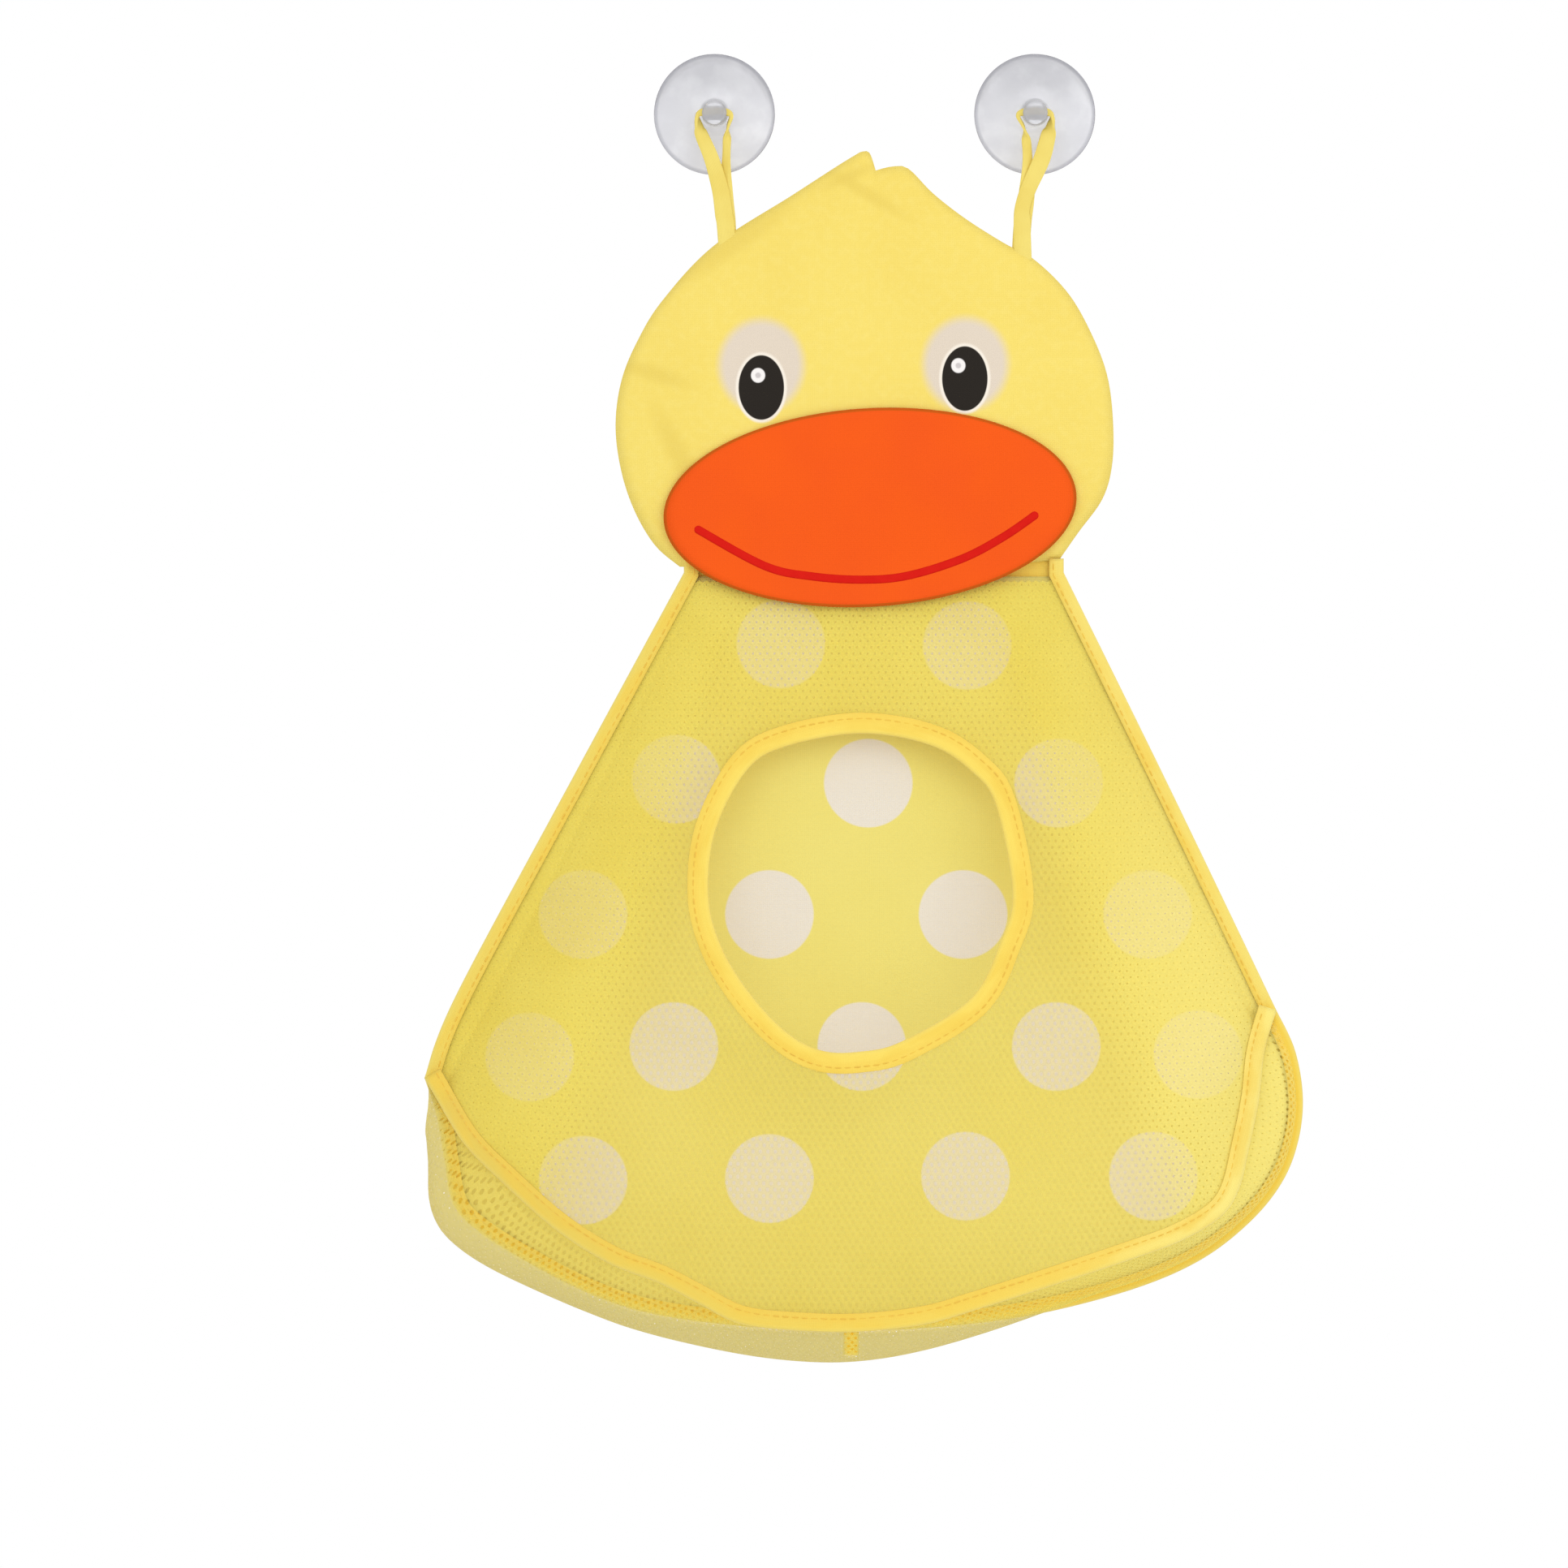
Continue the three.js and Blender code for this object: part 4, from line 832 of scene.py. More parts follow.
# Ribbon loops: up from the seam, through the knob's hole and down again behind
LEAST_RIBBON_WIDTH = 1.2
LEAST_RIBBON_THICKNESS = 0.4
RIBBON_SECTION = [
    (1, -0.5), (1, 0.5), (0.9, 1), (0.3, 0.9), (-0.3, 0.9), (-0.9, 1),
    (-1, 0.5), (-1, -0.5), (-0.9, -1), (-0.3, -0.9), (0.3, -0.9), (0.9, -1),
]
SEAM_TUCK = 1.5


def ribbon_loop(word, side, seam_z):
    layer = (RIBBON_THICKNESS + RIBBON_LAYER_GAP) / 2
    beside = KNOB_RADIUS + RIBBON_BUNDLE / 3

    def leg(lean, reach, drop, depth, width, thickness, wide):
        return (lean * RIBBON_LEAN + reach * beside, -drop * RIBBON_DROP, depth * layer,
                width * RIBBON_WIDTH, thickness * RIBBON_THICKNESS, *wide)

    def hole(reach, knob, drop, thickness):
        return (reach * beside + knob * KNOB_RADIUS, -drop * RIBBON_BUNDLE, 0,
                RIBBON_BUNDLE, thickness * RIBBON_BUNDLE, 0, 1)

    outer_lean, inner_lean = SEAM_LEAN_SHARES[word]
    seam_drop = -seam_z / RIBBON_DROP
    stations = np.array([
        leg(outer_lean, 0, seam_drop, 1, 1, 1, (1, 0)),
        *[leg(*row) for row in OUTER_LEG_SHARES[word]],
        *[hole(*row) for row in HOLE_SHARES],
        *[leg(*row) for row in INNER_LEG_SHARES[word]],
        leg(inner_lean, 0, seam_drop, -1, 1, 1, (1, 0)),
    ], float)
    rows = spline(stations, 8)
    centres = np.stack([
        side * (CUP_SPACING / 2 + rows[:, 0]), HANG_Y - rows[:, 2], rows[:, 1],
    ], 1)
    along = unit(np.gradient(centres, axis=0))
    wide = np.stack([side * rows[:, 5], -rows[:, 6], np.zeros(len(rows))], 1)
    wide = unit(wide - (wide * along).sum(1)[:, None] * along)
    thick = np.cross(along, wide)
    widths = np.maximum(LEAST_RIBBON_WIDTH, rows[:, 3]) / 2
    depths = np.maximum(LEAST_RIBBON_THICKNESS, rows[:, 4]) / 2
    rings = np.stack([
        centres + wide * (a * widths)[:, None] + thick * (b * depths)[:, None] for a, b in RIBBON_SECTION
    ], 1)
    uv = np.stack([
        np.repeat(run_lengths(centres), len(RIBBON_SECTION)),
        (np.array(RIBBON_SECTION)[:, 0] * widths[:, None]).ravel(),
    ], 1)
    return tube(f"{word}_ribbon", rings, uv)


def upper_edge(x):
    ends = np.roll(head_outline, -1, 0)
    heights = [a[1] + (x - a[0]) / (b[0] - a[0]) * (b[1] - a[1])
               for a, b in zip(head_outline, ends) if (a[0] > x) != (b[0] > x)]
    return max(heights)


for word, side in SIDES:
    reach = [side * SEAM_X + step * RIBBON_WIDTH / 2 for step in (-1, 0, 1)]
    seam_z = min(upper_edge(x) for x in reach) - SEAM_TUCK
    ribbon = finished(
        ribbon_loop(word, side, seam_z), satin, "ribbon", None, f"{word}_ribbon_loop", f"{word}_ribbon_end")
    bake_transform(ribbon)


# Head: a thin padded envelope with a printed front
HEAD_RINGS = 44
WADDING_RINGS = 16
BILL_RINGS = 30
PANEL_RINGS = 56
HEAD_PUCKERS = 58
PUCKER_DEPTH = 0.22
HEAD_UNEVENNESS = 0.55
HEAD_BACK_UNEVENNESS = 0.6
BILL_PUCKER_DEPTH = 0.35
BILL_UNEVENNESS = 0.35
SEAM_DEPTH = 0.35
SEAM_SHARE = 0.03
WADDING_REACH_SHARE = 0.93


def head_front_y(places, reach):
    angle = np.arctan2(*(places - head_centre).T)
    pucker = PUCKER_DEPTH * np.sin(angle * HEAD_PUCKERS) * reach**10 * (1 - reach) * 12
    uneven = HEAD_UNEVENNESS * bumps(places, 60, seed=3) * (1 - reach**6)
    edge = SEAM_DEPTH * np.clip((reach - (1 - SEAM_SHARE)) / SEAM_SHARE, 0, 1)
    return FRONT_LAYER_Y - CLOTH - head_crown(places) + pucker + uneven + edge


def head_back_y(places, reach):
    uneven = HEAD_BACK_UNEVENNESS * (bumps(places, 70, seed=5) + 1) * (1 - reach**4)
    return BACK_LAYER_Y + uneven


head_front = crowned_sheet("head_front_cloth", head_outline, head_centre, HEAD_RINGS, head_front_y)
finished(head_front, head_cloth, "head_cloth", "bag", "head_front_panel")
head_back = crowned_sheet("head_back_cloth", head_outline, head_centre, HEAD_RINGS, head_back_y)
finished(head_back, plain_head_cloth, "head_cloth", "bag", "head_back_panel")
wadding_outline = head_centre + (head_outline[::2] - head_centre) * WADDING_REACH_SHARE
head_wadding = crowned_sheet(
    "head_wadding", wadding_outline, head_centre, WADDING_RINGS,
    lambda places, reach: FRONT_LAYER_Y - head_crown(places) + 1.0,
    lambda places, reach: np.full(len(places), FRONT_LAYER_Y + 0.1),
)
finished(head_wadding, wadding, "wadding", "bag", "head_padding")


# Bill: an ellipse of orange cloth that hangs a little over the net
def bill_y(places, reach):
    crown = head_crown(places)
    lift = (crown**CROWN_EXPONENT + BILL_EDGE_LIFT**CROWN_EXPONENT) ** (1 / CROWN_EXPONENT)
    lower = np.clip((bill_centre[1] - places[:, 1]) / BILL_HALF_HEIGHT, 0, 1)
    wave = np.sin(places[:, 0] / 3.1 + 1.2 * np.sin(places[:, 0] / 17))
    pucker = BILL_PUCKER_DEPTH * wave * lower**3 * reach**5
    uneven = BILL_UNEVENNESS * bumps(places, 42, seed=11) * (1 - reach**8)
    return FRONT_LAYER_Y - CLOTH * 2 - BILL_GAP - lift + uneven + pucker


BILL_POINTS = 240
bill_angles = np.linspace(0, 2 * np.pi, BILL_POINTS, endpoint=False)
ellipse = np.stack([BILL_HALF_WIDTH * np.cos(bill_angles), BILL_HALF_HEIGHT * np.sin(bill_angles)], 1)
turn = np.array([[math.cos(BILL_TILT), -math.sin(BILL_TILT)], [math.sin(BILL_TILT), math.cos(BILL_TILT)]])
bill_outline = bill_centre + ellipse @ turn.T
bill = crowned_sheet("bill_cloth", bill_outline, bill_centre, BILL_RINGS, bill_y)
finished(bill, bill_cloth, "bill_cloth", "bag", "bill_panel")

SMILE = [
    (856, 650), (942, 697), (1001, 710), (1064, 714), (1119, 709), (1186, 688), (1237, 661), (1279, 632),
]
SMILE_WIDTH = 2.9
SMILE_COLUMN_SHARES = (-1, -0.55, 0, 0.55, 1)
SMILE_LIFTS = (0.07, 0.01)


def smile_line():
    step = 0.35
    line = resample([from_photo(*p) for p in SMILE], step)
    normal = inwards(line, False)
    count = len(line)
    half = SMILE_WIDTH / 2
    rows = []
    for i, (place, out) in enumerate(zip(line, normal)):
        end = min(i, count - 1 - i) * step
        width = half * math.sqrt(max(0.03, 1 - max(0, 1 - end / half) ** 2))
        rows.append([place + out * width * a for a in SMILE_COLUMN_SHARES])
    rows = np.array(rows).reshape(-1, 2)
    reach = np.linalg.norm((rows - bill_centre) / (BILL_HALF_WIDTH, BILL_HALF_HEIGHT), axis=1)
    y = bill_y(rows, np.minimum(1, reach))
    front, back = (at_depth(rows, y - lift) for lift in SMILE_LIFTS)
    return thin_slab("smile_print", front, back, len(SMILE_COLUMN_SHARES), rows)


smile = finished(smile_line(), smile_print, "bill_cloth", "bag")


# Pocket: the back panel, the tapes, the net and the gusset
def panel_outline(bottom):
    outline = np.concatenate([left_side[:-1], bottom[:-1], right_side[::-1]])
    area = (outline[:, 0] * np.roll(outline[:, 1], -1) - np.roll(outline[:, 0], -1) * outline[:, 1]).sum()
    return outline if area > 0 else outline[::-1]


back_outline = panel_outline(back_edge)
panel_centre = np.array([BAG_SHIFT, NECK_Z - POCKET_HEIGHT * 0.6])
PANEL_CALM_EDGE = 22
PANEL_INSET = 1.4


def back_panel_y(places, reach):
    soft = smooth(edge_distance(back_outline, places), 0, PANEL_CALM_EDGE)
    waves = bumps(places, 95, seed=21) + 0.5 * bumps(places, 40, seed=23)
    return BACK_LAYER_Y + soft * (waves - 0.2)


back_inset = back_outline + inwards(back_outline, True) * PANEL_INSET
back_panel = crowned_sheet("back_panel_cloth", back_inset, panel_centre, PANEL_RINGS, back_panel_y)
finished(back_panel, dotted_cloth, "dotted_cloth", "bag", "back_panel")


STITCH_PINCH = 0.07
TAPE_UNEVENNESS = 0.12


def tape_section(width):
    """The fold of a binding tape, from the front wall round the raw edge to the back wall."""
    half, slot = TAPE_HALF, TAPE_SLOT
    wall = np.array([
        (width, half * 0.9), (width * 0.97, half), (width * 0.7, half), (width * 0.35, half * 1.04),
    ])
    lining = np.array([(width, slot), (width * 0.5, slot), (half * 0.9, slot * 0.9)])
    bend = np.linspace(-np.pi / 2, np.pi / 2, 7)
    fold = np.stack([half * 0.9 * (1 - np.cos(bend)), half * np.sin(bend)], 1)
    front = (1, -1)
    return np.concatenate([
        wall * front, fold, wall[::-1], lining, [(half * 0.55, 0)], lining[::-1] * front,
    ])


def tape_along(name, edge, width, depth_at, closed=False):
    """Binding tape along an edge; depth_at gives how far out each place across it stands."""
    section = tape_section(width)
    across, y_across = section.T
    inner = inwards(edge, closed)
    lengths = run_lengths(edge)
    stitch = STITCH_PINCH * np.sin(lengths * 2 * np.pi / STITCH_STEP)
    stitch = stitch + TAPE_UNEVENNESS * np.sin(lengths / 9.3) * np.sin(lengths / 5.1 + 1)
    rings, uv = [], []
    for i, place in enumerate(edge):
        flat = place + inner[i] * across[:, None]
        pinch = 1 + stitch[i] * np.clip(across / width, 0, 1)
        y = HANG_Y - depth_at(flat, place, inner[i] * width, across / width)
        rings.append(at_depth(flat, y + y_across * pinch))
        uv.append(np.stack([np.full(len(section), lengths[i]), across * np.sign(y_across + 1e-9)], 1))
    return tube(name, rings, np.concatenate(uv), closed)


def flat_depth(flat, place, inward, share):
    return np.zeros(len(flat))


def net_depth(flat, place, inward, share):
    """Depth that runs evenly across the tape, as the net does under it."""
    reach = 1.2
    near = pocket_bulge(*place[:, None])
    far = pocket_bulge(*(place + inward * reach)[:, None])
    return near + (far - near) * share / reach


def lengthened(path, more):
    """A path with both ends run straight up by that length, under the head's edge."""
    steps = np.linspace(more, 0, 4, endpoint=False)[:, None] * (0, 1)
    return np.concatenate([path[0] + steps, path, path[-1] + steps[::-1]])


NECK_TUCK = 5
BAND_FADE = 12
rim_path = lengthened(joined(left_side, back_edge, right_side[::-1]), NECK_TUCK)
rim_tape = tape_along("rim_binding", rim_path, SIDE_TAPE_WIDTH, flat_depth)
left_end = run_lengths(left_side)[-1]
back_end = left_end + run_lengths(back_edge)[-1]
# The same binding tape with painted shade on the left side and painted light towards the right
rim_finish = tape_finish(
    "side and back tape", colour(238, 213, 100),
    (left_end, left_end + BAND_FADE, colour(243, 208, 78)),
    (back_end, back_end + BAND_FADE, colour(245, 222, 114)))
finished(rim_tape, rim_finish, "binding_tape", "bag",
         "left_side_binding", "right_side_binding", "back_bottom_binding")

CORNER_LIFT = 2 * TAPE_HALF + 0.25


def front_depth(flat, place, inward, share):
    return np.maximum(net_depth(flat, place, inward, share), CORNER_LIFT)


front_tape = tape_along("front_bottom_tape", front_edge, FRONT_TAPE_WIDTH, front_depth)
# The front tape darker at the left and paler towards the right: painted light and shade
front_stops = run_lengths(front_edge)[-1] * np.array([0.25, 0.6, 0.82])
front_finish = tape_finish(
    "front tape", colour(236, 208, 92),
    (*front_stops[:2], colour(245, 214, 92)), (*front_stops[1:], colour(253, 235, 132)))
finished(front_tape, front_finish, "binding_tape", None, "front_bottom_binding")


def swings_in_front(thing):
    """Bakes a piece's transform into its mesh."""
    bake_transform(thing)


swings_in_front(front_tape)


def opening_outline(outwards, count):
    half_sizes = np.array([OPENING_WIDTH, OPENING_HEIGHT]) / 2
    knots = np.array(OPENING_EDGE_SHARES) * half_sizes + (OPENING_X, OPENING_Z)
    span = 24
    dense = spline(np.concatenate([knots[-2:], knots, knots[:3]]), span)
    edge = spaced(dense[2 * span:(2 + len(knots)) * span + 1], count)[:-1]
    return edge - inwards(edge, True) * outwards


opening_rim = opening_outline(0, 150)[::-1]
front_outline = panel_outline(front_edge)
opening_tape = tape_along("opening_tape", opening_rim, OPENING_TAPE_WIDTH, net_depth, closed=True)
finished(opening_tape, tape, "binding_tape", "bag", "opening_binding")

tab_low, tab_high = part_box("binding_tab")
TAB_X = (tab_low.x + tab_high.x) / 2 / MM
TAB_LOW = tab_low.z / MM


SLAB_EDGE_SHARE = 0.45
SLAB_EDGE_ROUND = 0.6


def soft_slab(name, node, bend, finish, more=(0, 0, 0)):
    """A short length of tape in the room of a solid: a slab with rounded edges and a slight bend."""
    low, high = (np.array(corner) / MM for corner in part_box(node))
    low, high = low - more, high + more
    columns, rows = 24, 8
    u, v = np.meshgrid(np.linspace(0, 1, columns), np.linspace(0, 1, rows), indexing="xy")
    x = low[0] + u * (high[0] - low[0])
    z = low[2] + v * (high[2] - low[2])
    edge = np.minimum(np.minimum(u, 1 - u) * (high[0] - low[0]), np.minimum(v, 1 - v) * (high[2] - low[2]))
    rounding = np.sqrt(np.clip(edge / SLAB_EDGE_ROUND, 0, 1))
    half = (high[1] - low[1]) / 2 * (SLAB_EDGE_SHARE + (1 - SLAB_EDGE_SHARE) * rounding)
    middle = (high[1] + low[1]) / 2 + bend * np.sin(u * np.pi * 3) * np.sin(v * np.pi)
    front, back = (np.stack([x, y, z], -1).reshape(-1, 3) for y in (middle - half, middle + half))
    uv = np.stack([x.ravel() - low[0], z.ravel() - low[2]], 1)
    finished(thin_slab(name, front, back, columns, uv), finish, "binding_tape", "bag", node)


soft_slab("neck_binding", "neck_tape", 0.15, tape, (4.4, 0, 1.5))
soft_slab("binding_end_tab", "binding_tab", 0.1, tab_tape)


# Netting: cells of a staggered mesh, each a hexagon of strands round a hole
STRAND_DEPTH = 0.42
NET_HOLE_SHARES = (0.44, 0.56)
CLOSING_SHARE = 0.68
FLATTENING_SHARE = 0.55


def netting(name, centres, on_surface, covered):
    """A mesh of strands; centres are cell places in a flat lattice, and on_surface bends them.

    covered gives, for each place in the lattice, how close its strands lie, from 0 to 1.
    """
    a, b = NET_PITCH, NET_ROW
    corners = np.array([(0, 2 / 3 * b), (a / 2, b / 3), (a / 2, -b / 3), (0, -2 / 3 * b),
                        (-a / 2, -b / 3), (-a / 2, b / 3)])
    ridge = centres[:, None] + corners
    keys = np.round(ridge.reshape(-1, 2) * 64).astype(np.int64)
    _, first, inverse = np.unique(keys, axis=0, return_index=True, return_inverse=True)
    inverse = inverse.reshape(-1)
    ridge_flat = ridge.reshape(-1, 2)[first]
    open_share = 1 - CLOSING_SHARE * covered(centres)
    holes_flat = (centres[:, None] + corners * NET_HOLE_SHARES * open_share[:, None, None]).reshape(-1, 2)
    count, shared = len(centres), len(ridge_flat)
    front, normal = on_surface(ridge_flat)
    middle, _ = on_surface(holes_flat)
    half_depth = STRAND_DEPTH / 2 * (1 - FLATTENING_SHARE * covered(ridge_flat))[:, None]
    points = np.concatenate([front - normal * half_depth, front + normal * half_depth, middle])
    uv = np.concatenate([ridge_flat, ridge_flat, holes_flat])
    ridge_index = inverse.reshape(count, 6)
    hole_index = 2 * shared + np.arange(count * 6).reshape(count, 6)
    after = (np.arange(6) + 1) % 6
    front_quads = np.stack([
        ridge_index, ridge_index[:, after], hole_index[:, after], hole_index,
    ], -1).reshape(-1, 4)
    back_quads = np.stack([
        ridge_index + shared, hole_index, hole_index[:, after], ridge_index[:, after] + shared,
    ], -1).reshape(-1, 4)
    edges = np.stack([ridge_index, ridge_index[:, after]], -1).reshape(-1, 2)
    sorted_edges = np.sort(edges, 1)
    _, where, times = np.unique(sorted_edges, axis=0, return_inverse=True, return_counts=True)
    free = edges[times[where.reshape(-1)] == 1]
    walls = np.stack([free[:, 1], free[:, 0], free[:, 0] + shared, free[:, 1] + shared], 1)
    thing = add_mesh(name, points, np.concatenate([front_quads, back_quads, walls]), uv, rounded=False)
    cover = thing.data.attributes.new("cover", "FLOAT", "POINT")
    cover.data.foreach_set("value", covered(uv).astype(np.float32))
    return thing


def lattice(low, high):
    rows = np.arange(math.floor(low[1] / NET_ROW), math.ceil(high[1] / NET_ROW) + 1)
    columns = np.arange(math.floor(low[0] / NET_PITCH) - 1, math.ceil(high[0] / NET_PITCH) + 1)
    column, row = np.meshgrid(columns, rows)
    return np.stack([(column + (row % 2) / 2).ravel() * NET_PITCH, row.ravel() * NET_ROW], 1)


def stretched(places):
    """Rows that sag in the middle and columns that spread towards the pocket's corners."""
    down = (NECK_Z - places[:, 1]) / POCKET_HEIGHT
    reach = (places[:, 0] - BAG_SHIFT) / POCKET_HALF_WIDTH
    return np.stack([
        places[:, 0] + NET_SPREAD * reach * down**2,
        places[:, 1] - NET_ROW_SAG * (1 - reach**2) * down,
    ], 1)


NET_CALM_EDGE = 24


def net_y(places):
    """The net's depth: the pocket's bulge, with soft hollows that end at the tapes."""
    calm = np.minimum(edge_distance(front_outline, places), edge_distance(opening_rim, places))
    calm = np.clip((calm - FRONT_TAPE_WIDTH) / NET_CALM_EDGE, 0, 1)
    hollows = 1.1 * bumps(places, 62, seed=31) + 0.5 * bumps(places * (1, 0.4), 26, seed=33)
    return FRONT_LAYER_Y - CLOTH / 2 - pocket_bulge(places[:, 0], places[:, 1]) + hollows * calm**2


def normals_of(surface_y, places):
    step = 0.5
    dx = (surface_y(places + (step, 0)) - surface_y(places - (step, 0))) / (2 * step)
    dz = (surface_y(places + (0, step)) - surface_y(places - (0, step))) / (2 * step)
    return unit(np.stack([-dx, np.ones(len(places)), -dz], 1))


def on_front(flat):
    places = stretched(flat)
    return at_depth(places, net_y(places)), normals_of(net_y, places)


def net_cover(flat):
    """The net lies close at the pocket's sides and at its neck."""
    places = stretched(flat)
    down = (NECK_Z - places[:, 1]) / POCKET_HEIGHT
    neck, side = 0.41, 0.9
    reach = np.abs(places[:, 0] - BAG_SHIFT) / POCKET_HALF_WIDTH / (neck + side * down)
    return np.maximum(smooth(reach, 0.45, 0.78), 0.65 * smooth(-down, -0.48, -0.07))


NET_SEAM = 2.6
net_room = front_outline + inwards(front_outline, True) * NET_SEAM
cells = lattice(front_outline.min(0) - NET_SPREAD, front_outline.max(0) + NET_SPREAD)
spots = stretched(cells)
hole_ring = opening_outline(NET_SEAM, 120)
cells = cells[contains(net_room, spots) & ~contains(hole_ring, spots)]
front_net = netting("front_netting", cells, on_front, net_cover)
finished(front_net, net_yarn, "net_yarn", None, "front_net")


# Gusset: the strip of net between the front edge and the back edge of the pocket floor
GUSSET_COLUMNS = 400
gusset_front_rim = spaced(front_edge, GUSSET_COLUMNS)
gusset_back_rim = spaced(back_edge, GUSSET_COLUMNS)
gusset_front = gusset_front_rim + inwards(gusset_front_rim, False) * FRONT_TAPE_WIDTH / 2
gusset_back = gusset_back_rim + inwards(gusset_back_rim, False) * SIDE_TAPE_WIDTH / 2
gusset_out = -inwards(gusset_back, False)
gusset_share = np.linspace(0, 1, GUSSET_COLUMNS + 1)
gusset_belly = GUSSET_BELLY * value_at(GUSSET_BELLY_SHARES, gusset_share)
gusset_width = np.maximum(0, ((gusset_back - gusset_front) * gusset_out).sum(1))
gusset_swell = 2 * (gusset_belly + np.sqrt(gusset_belly * (gusset_belly + gusset_width)))
gusset_start_y = HANG_Y - pocket_bulge(gusset_front_rim[:, 0], gusset_front_rim[:, 1]) + TAPE_HALF
GUSSET_END_Y = HANG_Y - TAPE_HALF
gusset_start_y = np.minimum(gusset_start_y, GUSSET_END_Y - CLOTH)


def gusset_point(column, share):
    """The gusset's surface: column runs along it from 0 to 1, and share from front to back."""
    place, stations = column * GUSSET_COLUMNS, np.arange(GUSSET_COLUMNS + 1)
    front, back, out = (points_at(place, stations, run) for run in (gusset_front, gusset_back, gusset_out))
    swell = np.interp(place, stations, gusset_swell) * share * (1 - share)
    ease = 1 - (1 - share[:, None]) ** 2
    start_y = np.interp(place, stations, gusset_start_y)
    return at_depth(front * (1 - ease) + back * ease + out * swell[:, None],
                    start_y * (1 - share) + GUSSET_END_Y * share)


width_stations = np.linspace(0, 1, 81)
across_samples = np.linspace(0, 1, 25)
across_lengths = np.array([
    run_lengths(gusset_point(np.full(len(across_samples), column), across_samples))[-1]
    for column in width_stations
])
gusset_length = run_lengths(gusset_back)[-1]


def on_gusset(flat):
    """flat is the length along the back edge and the distance up from it."""
    column = np.clip(flat[:, 0] / gusset_length, 0, 1)
    width = np.interp(column, width_stations, across_lengths)
    lap, step_along, step_across = 0.03, 0.002, 0.01
    share = np.clip(1 - flat[:, 1] / width, -lap, 1 + lap)
    points = gusset_point(column, share)
    before, after = (np.clip(column + step, 0, 1) for step in (-step_along, step_along))
    along = gusset_point(after, share) - gusset_point(before, share)
    across = gusset_point(column, share + step_across) - gusset_point(column, share - step_across)
    return points, unit(np.cross(along, across))


def gusset_cover(flat):
    """1 past the pocket's back edge and between the tapes at the right, but 0 over the small tab."""
    points, _ = on_gusset(flat)
    place = np.clip(flat[:, 0] / gusset_length, 0, 1)
    ends, out = (points_at(place, gusset_share, run) for run in (gusset_back, gusset_out))
    beyond = ((points[:, [0, 2]] - ends) * out).sum(1)
    cover = np.maximum(smooth(beyond, 0.2, 2.6), smooth(place, 0.68, 0.82) * smooth(-beyond, 2.5, 5))
    beside_tab = smooth(np.abs(points[:, 0] - TAB_X), 1.4, 2.8)
    return cover * np.maximum(beside_tab, smooth(TAB_LOW - points[:, 2], -1.5, 0))


gusset_cells = lattice((0, -2), (gusset_length, across_lengths.max() + 2))
width_there = np.interp(gusset_cells[:, 0] / gusset_length, width_stations, across_lengths)
keep = (gusset_cells[:, 1] > -1) & (gusset_cells[:, 1] < width_there + 0.5)
keep &= (gusset_cells[:, 0] > NET_PITCH) & (gusset_cells[:, 0] < gusset_length - NET_PITCH)
gusset_net = netting("gusset_netting", gusset_cells[keep], on_gusset, gusset_cover)
finished(gusset_net, gusset_yarn, "gusset_yarn", None, "gusset_net")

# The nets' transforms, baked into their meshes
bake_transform(front_net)
swings_in_front(gusset_net)


# Stitching: short threads along the inner side of each tape, on its front and its back
def stitch_run(name, path_points, *bodies):
    """One thread for each stitch; path_points is the line of stitches in space."""
    lengths = run_lengths(path_points)
    count = int(lengths[-1] // STITCH_STEP)
    share = np.array([-0.5, -0.38, -0.15, 0.15, 0.38, 0.5])
    swell = np.array([0.35, 0.85, 1, 1, 0.85, 0.35])
    sides = 6
    turn = np.arange(sides) * 2 * np.pi / sides
    cap = np.array([[0, 1, 2, 3], [0, 3, 4, 5]])
    points, quads = [], []
    for i in range(count):
        places = (i + 0.5) * STITCH_STEP + share * STITCH_LENGTH
        centre = points_at(places, lengths, path_points)
        along = unit(centre[-1] - centre[0])
        side = unit(np.cross(along, (0, 1, 0)))
        up = np.cross(side, along)
        start = len(points) * len(share) * sides
        ring = (np.cos(turn)[:, None] * side + np.sin(turn)[:, None] * up * 0.8) * STITCH_RADIUS
        points.append((centre[:, None] + swell[:, None, None] * ring[None]).reshape(-1, 3))
        last = start + (len(share) - 1) * sides
        quads += [start + grid_quads(len(share), sides, closed=True), start + cap, last + cap[:, ::-1]]
    points = np.concatenate(points)
    thing = turned_out(add_mesh(name, points, np.concatenate(quads), points[:, [0, 2]]))
    return finished(thing, thread, "binding_tape", *bodies)


STITCH_PLACE_SHARE = 0.72
STITCH_LIFT = 0.08


def stitch_line(edge, width, depth_at, face, closed=False):
    rows = []
    for place, step in zip(edge, inwards(edge, closed)):
        flat = place + step * width * STITCH_PLACE_SHARE
        depth = depth_at(flat[None], place, step * width, np.array([STITCH_PLACE_SHARE]))[0]
        rows.append((flat[0], HANG_Y - depth + face * (TAPE_HALF + STITCH_LIFT), flat[1]))
    return np.array(rows)


for face, word in ((-1, "front"), (1, "back")):
    rim_line = stitch_line(rim_path, SIDE_TAPE_WIDTH, flat_depth, face)
    mouth_line = stitch_line(opening_rim, OPENING_TAPE_WIDTH, net_depth, face, closed=True)
    bottom_line = stitch_line(front_edge, FRONT_TAPE_WIDTH, front_depth, face)
    stitch_run(f"rim_stitches_{word}", rim_line, "bag")
    stitch_run(f"mouth_stitches_{word}", mouth_line, "bag")
    swings_in_front(stitch_run(f"bottom_stitches_{word}", bottom_line))


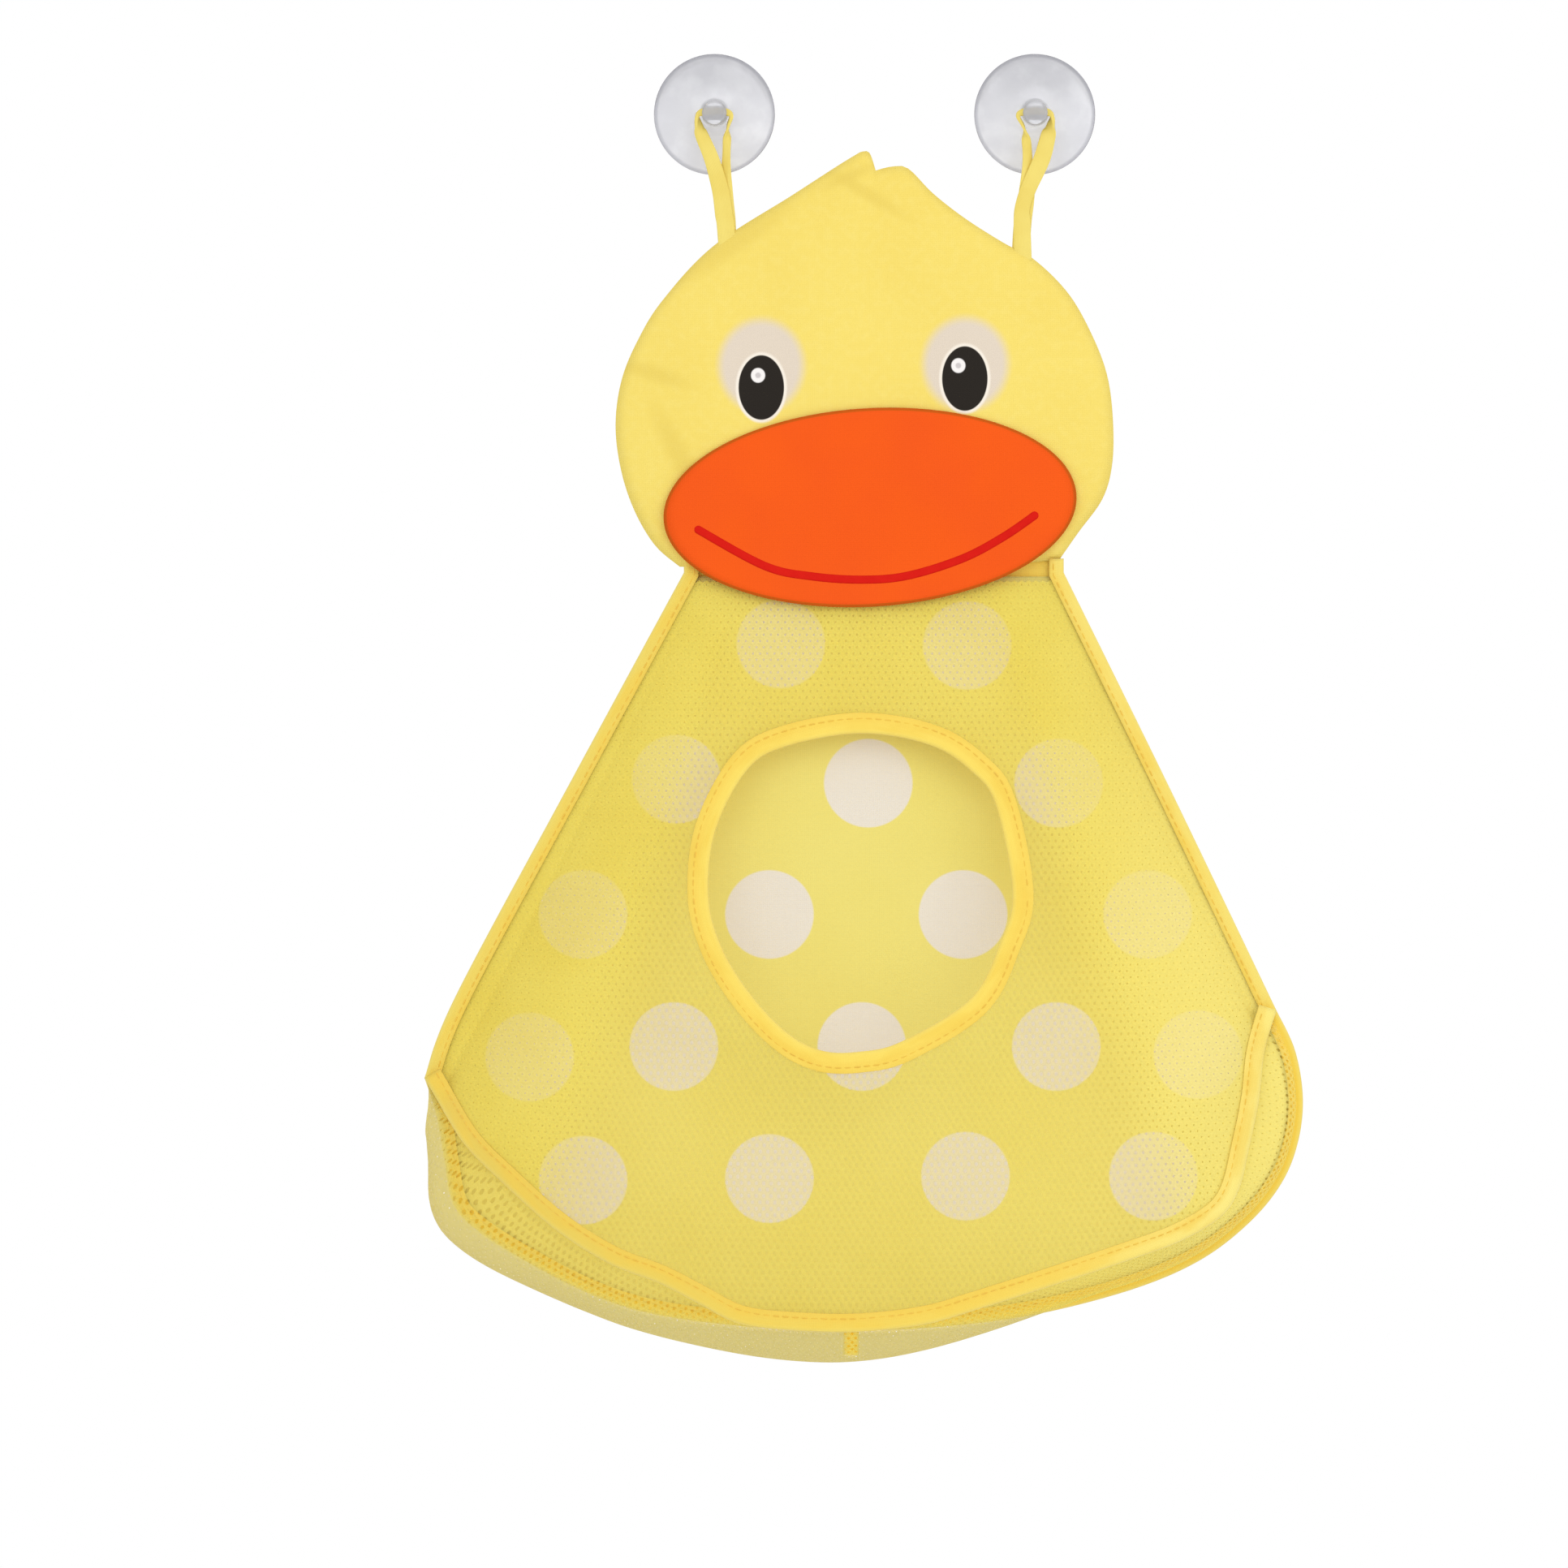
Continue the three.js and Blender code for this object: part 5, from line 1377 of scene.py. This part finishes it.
# Floor, world and lamps
FLOOR_Z = -640
FLOOR_RADIUS = 1250
FLOOR_SIDES = 96
FLOOR_FADE_START = 550
FLOOR_CLEAR_SHARE = 0.98

floor_finish = Finish("floor", (0.86, 0.86, 0.86, 1), 0.8)
floor_place = floor_finish.node("TexCoord").outputs["Object"]
patches = floor_finish.ramp(floor_finish.noise(120, 2, floor_place), 0.3, 0.7, 0, 0.2)
floor_finish.paint(patches, (0.83, 0.83, 0.84, 1))
away = floor_finish.vector("LENGTH", floor_finish.vector("MULTIPLY", floor_place, (1, 1, 0)))
floor_finish.clear_by(floor_finish.ramp(away, FLOOR_FADE_START * MM, FLOOR_RADIUS * MM * FLOOR_CLEAR_SHARE))

angles = np.linspace(0, 2 * np.pi, FLOOR_SIDES, endpoint=False)
disc = np.stack([np.cos(angles), np.sin(angles)], 1) * FLOOR_RADIUS
disc = np.pad(np.concatenate([disc, [[0, 0]]]), ((0, 0), (0, 1)), constant_values=FLOOR_Z)
around = np.arange(FLOOR_SIDES)
fan = np.stack([around, np.roll(around, -1), np.full(FLOOR_SIDES, FLOOR_SIDES)], 1)
floor = add_mesh("floor", disc, None, tris=fan, rounded=False)
floor.data.materials.append(floor_finish.done())

# The object is lit at 0.8, and a backdrop that is seen, mirrored or seen through is white
world = bpy.data.worlds.new("studio")
bpy.context.scene.world = world
sky = Nodes(world)
rays = sky.node("LightPath").outputs
seen = sky.maths("MAXIMUM", rays["Is Camera Ray"], rays["Is Glossy Ray"])
seen = sky.maths("MAXIMUM", seen, rays["Is Transmission Ray"])
background = sky.tree.nodes["Background"]
sky.put(background.inputs["Color"], (1, 1, 1, 1))
sky.put(background.inputs["Strength"], sky.ramp(seen, 0, 1, 0.8, 1.0))

LAMP_SIZE = 2.2
LAMP_AIM = Vector((-0.004, -0.02, -0.24))
LAMPS = [
    ("left_lamp", (-0.8, -2.4, 0.9), 11.5), ("right_lamp", (1.4, -2.2, 0.3), 14.2),
    ("back_lamp", (0.3, 2.4, 1.0), 16),
]
for name, place, power in LAMPS:
    light = bpy.data.lights.new(name, "AREA")
    light.energy = power
    light.size = LAMP_SIZE
    thing = add_object(name, light)
    thing.location = place
    thing.rotation_euler = (LAMP_AIM - Vector(place)).to_track_quat("-Z", "Y").to_euler()
bpy.context.scene.view_settings.view_transform = "Standard"
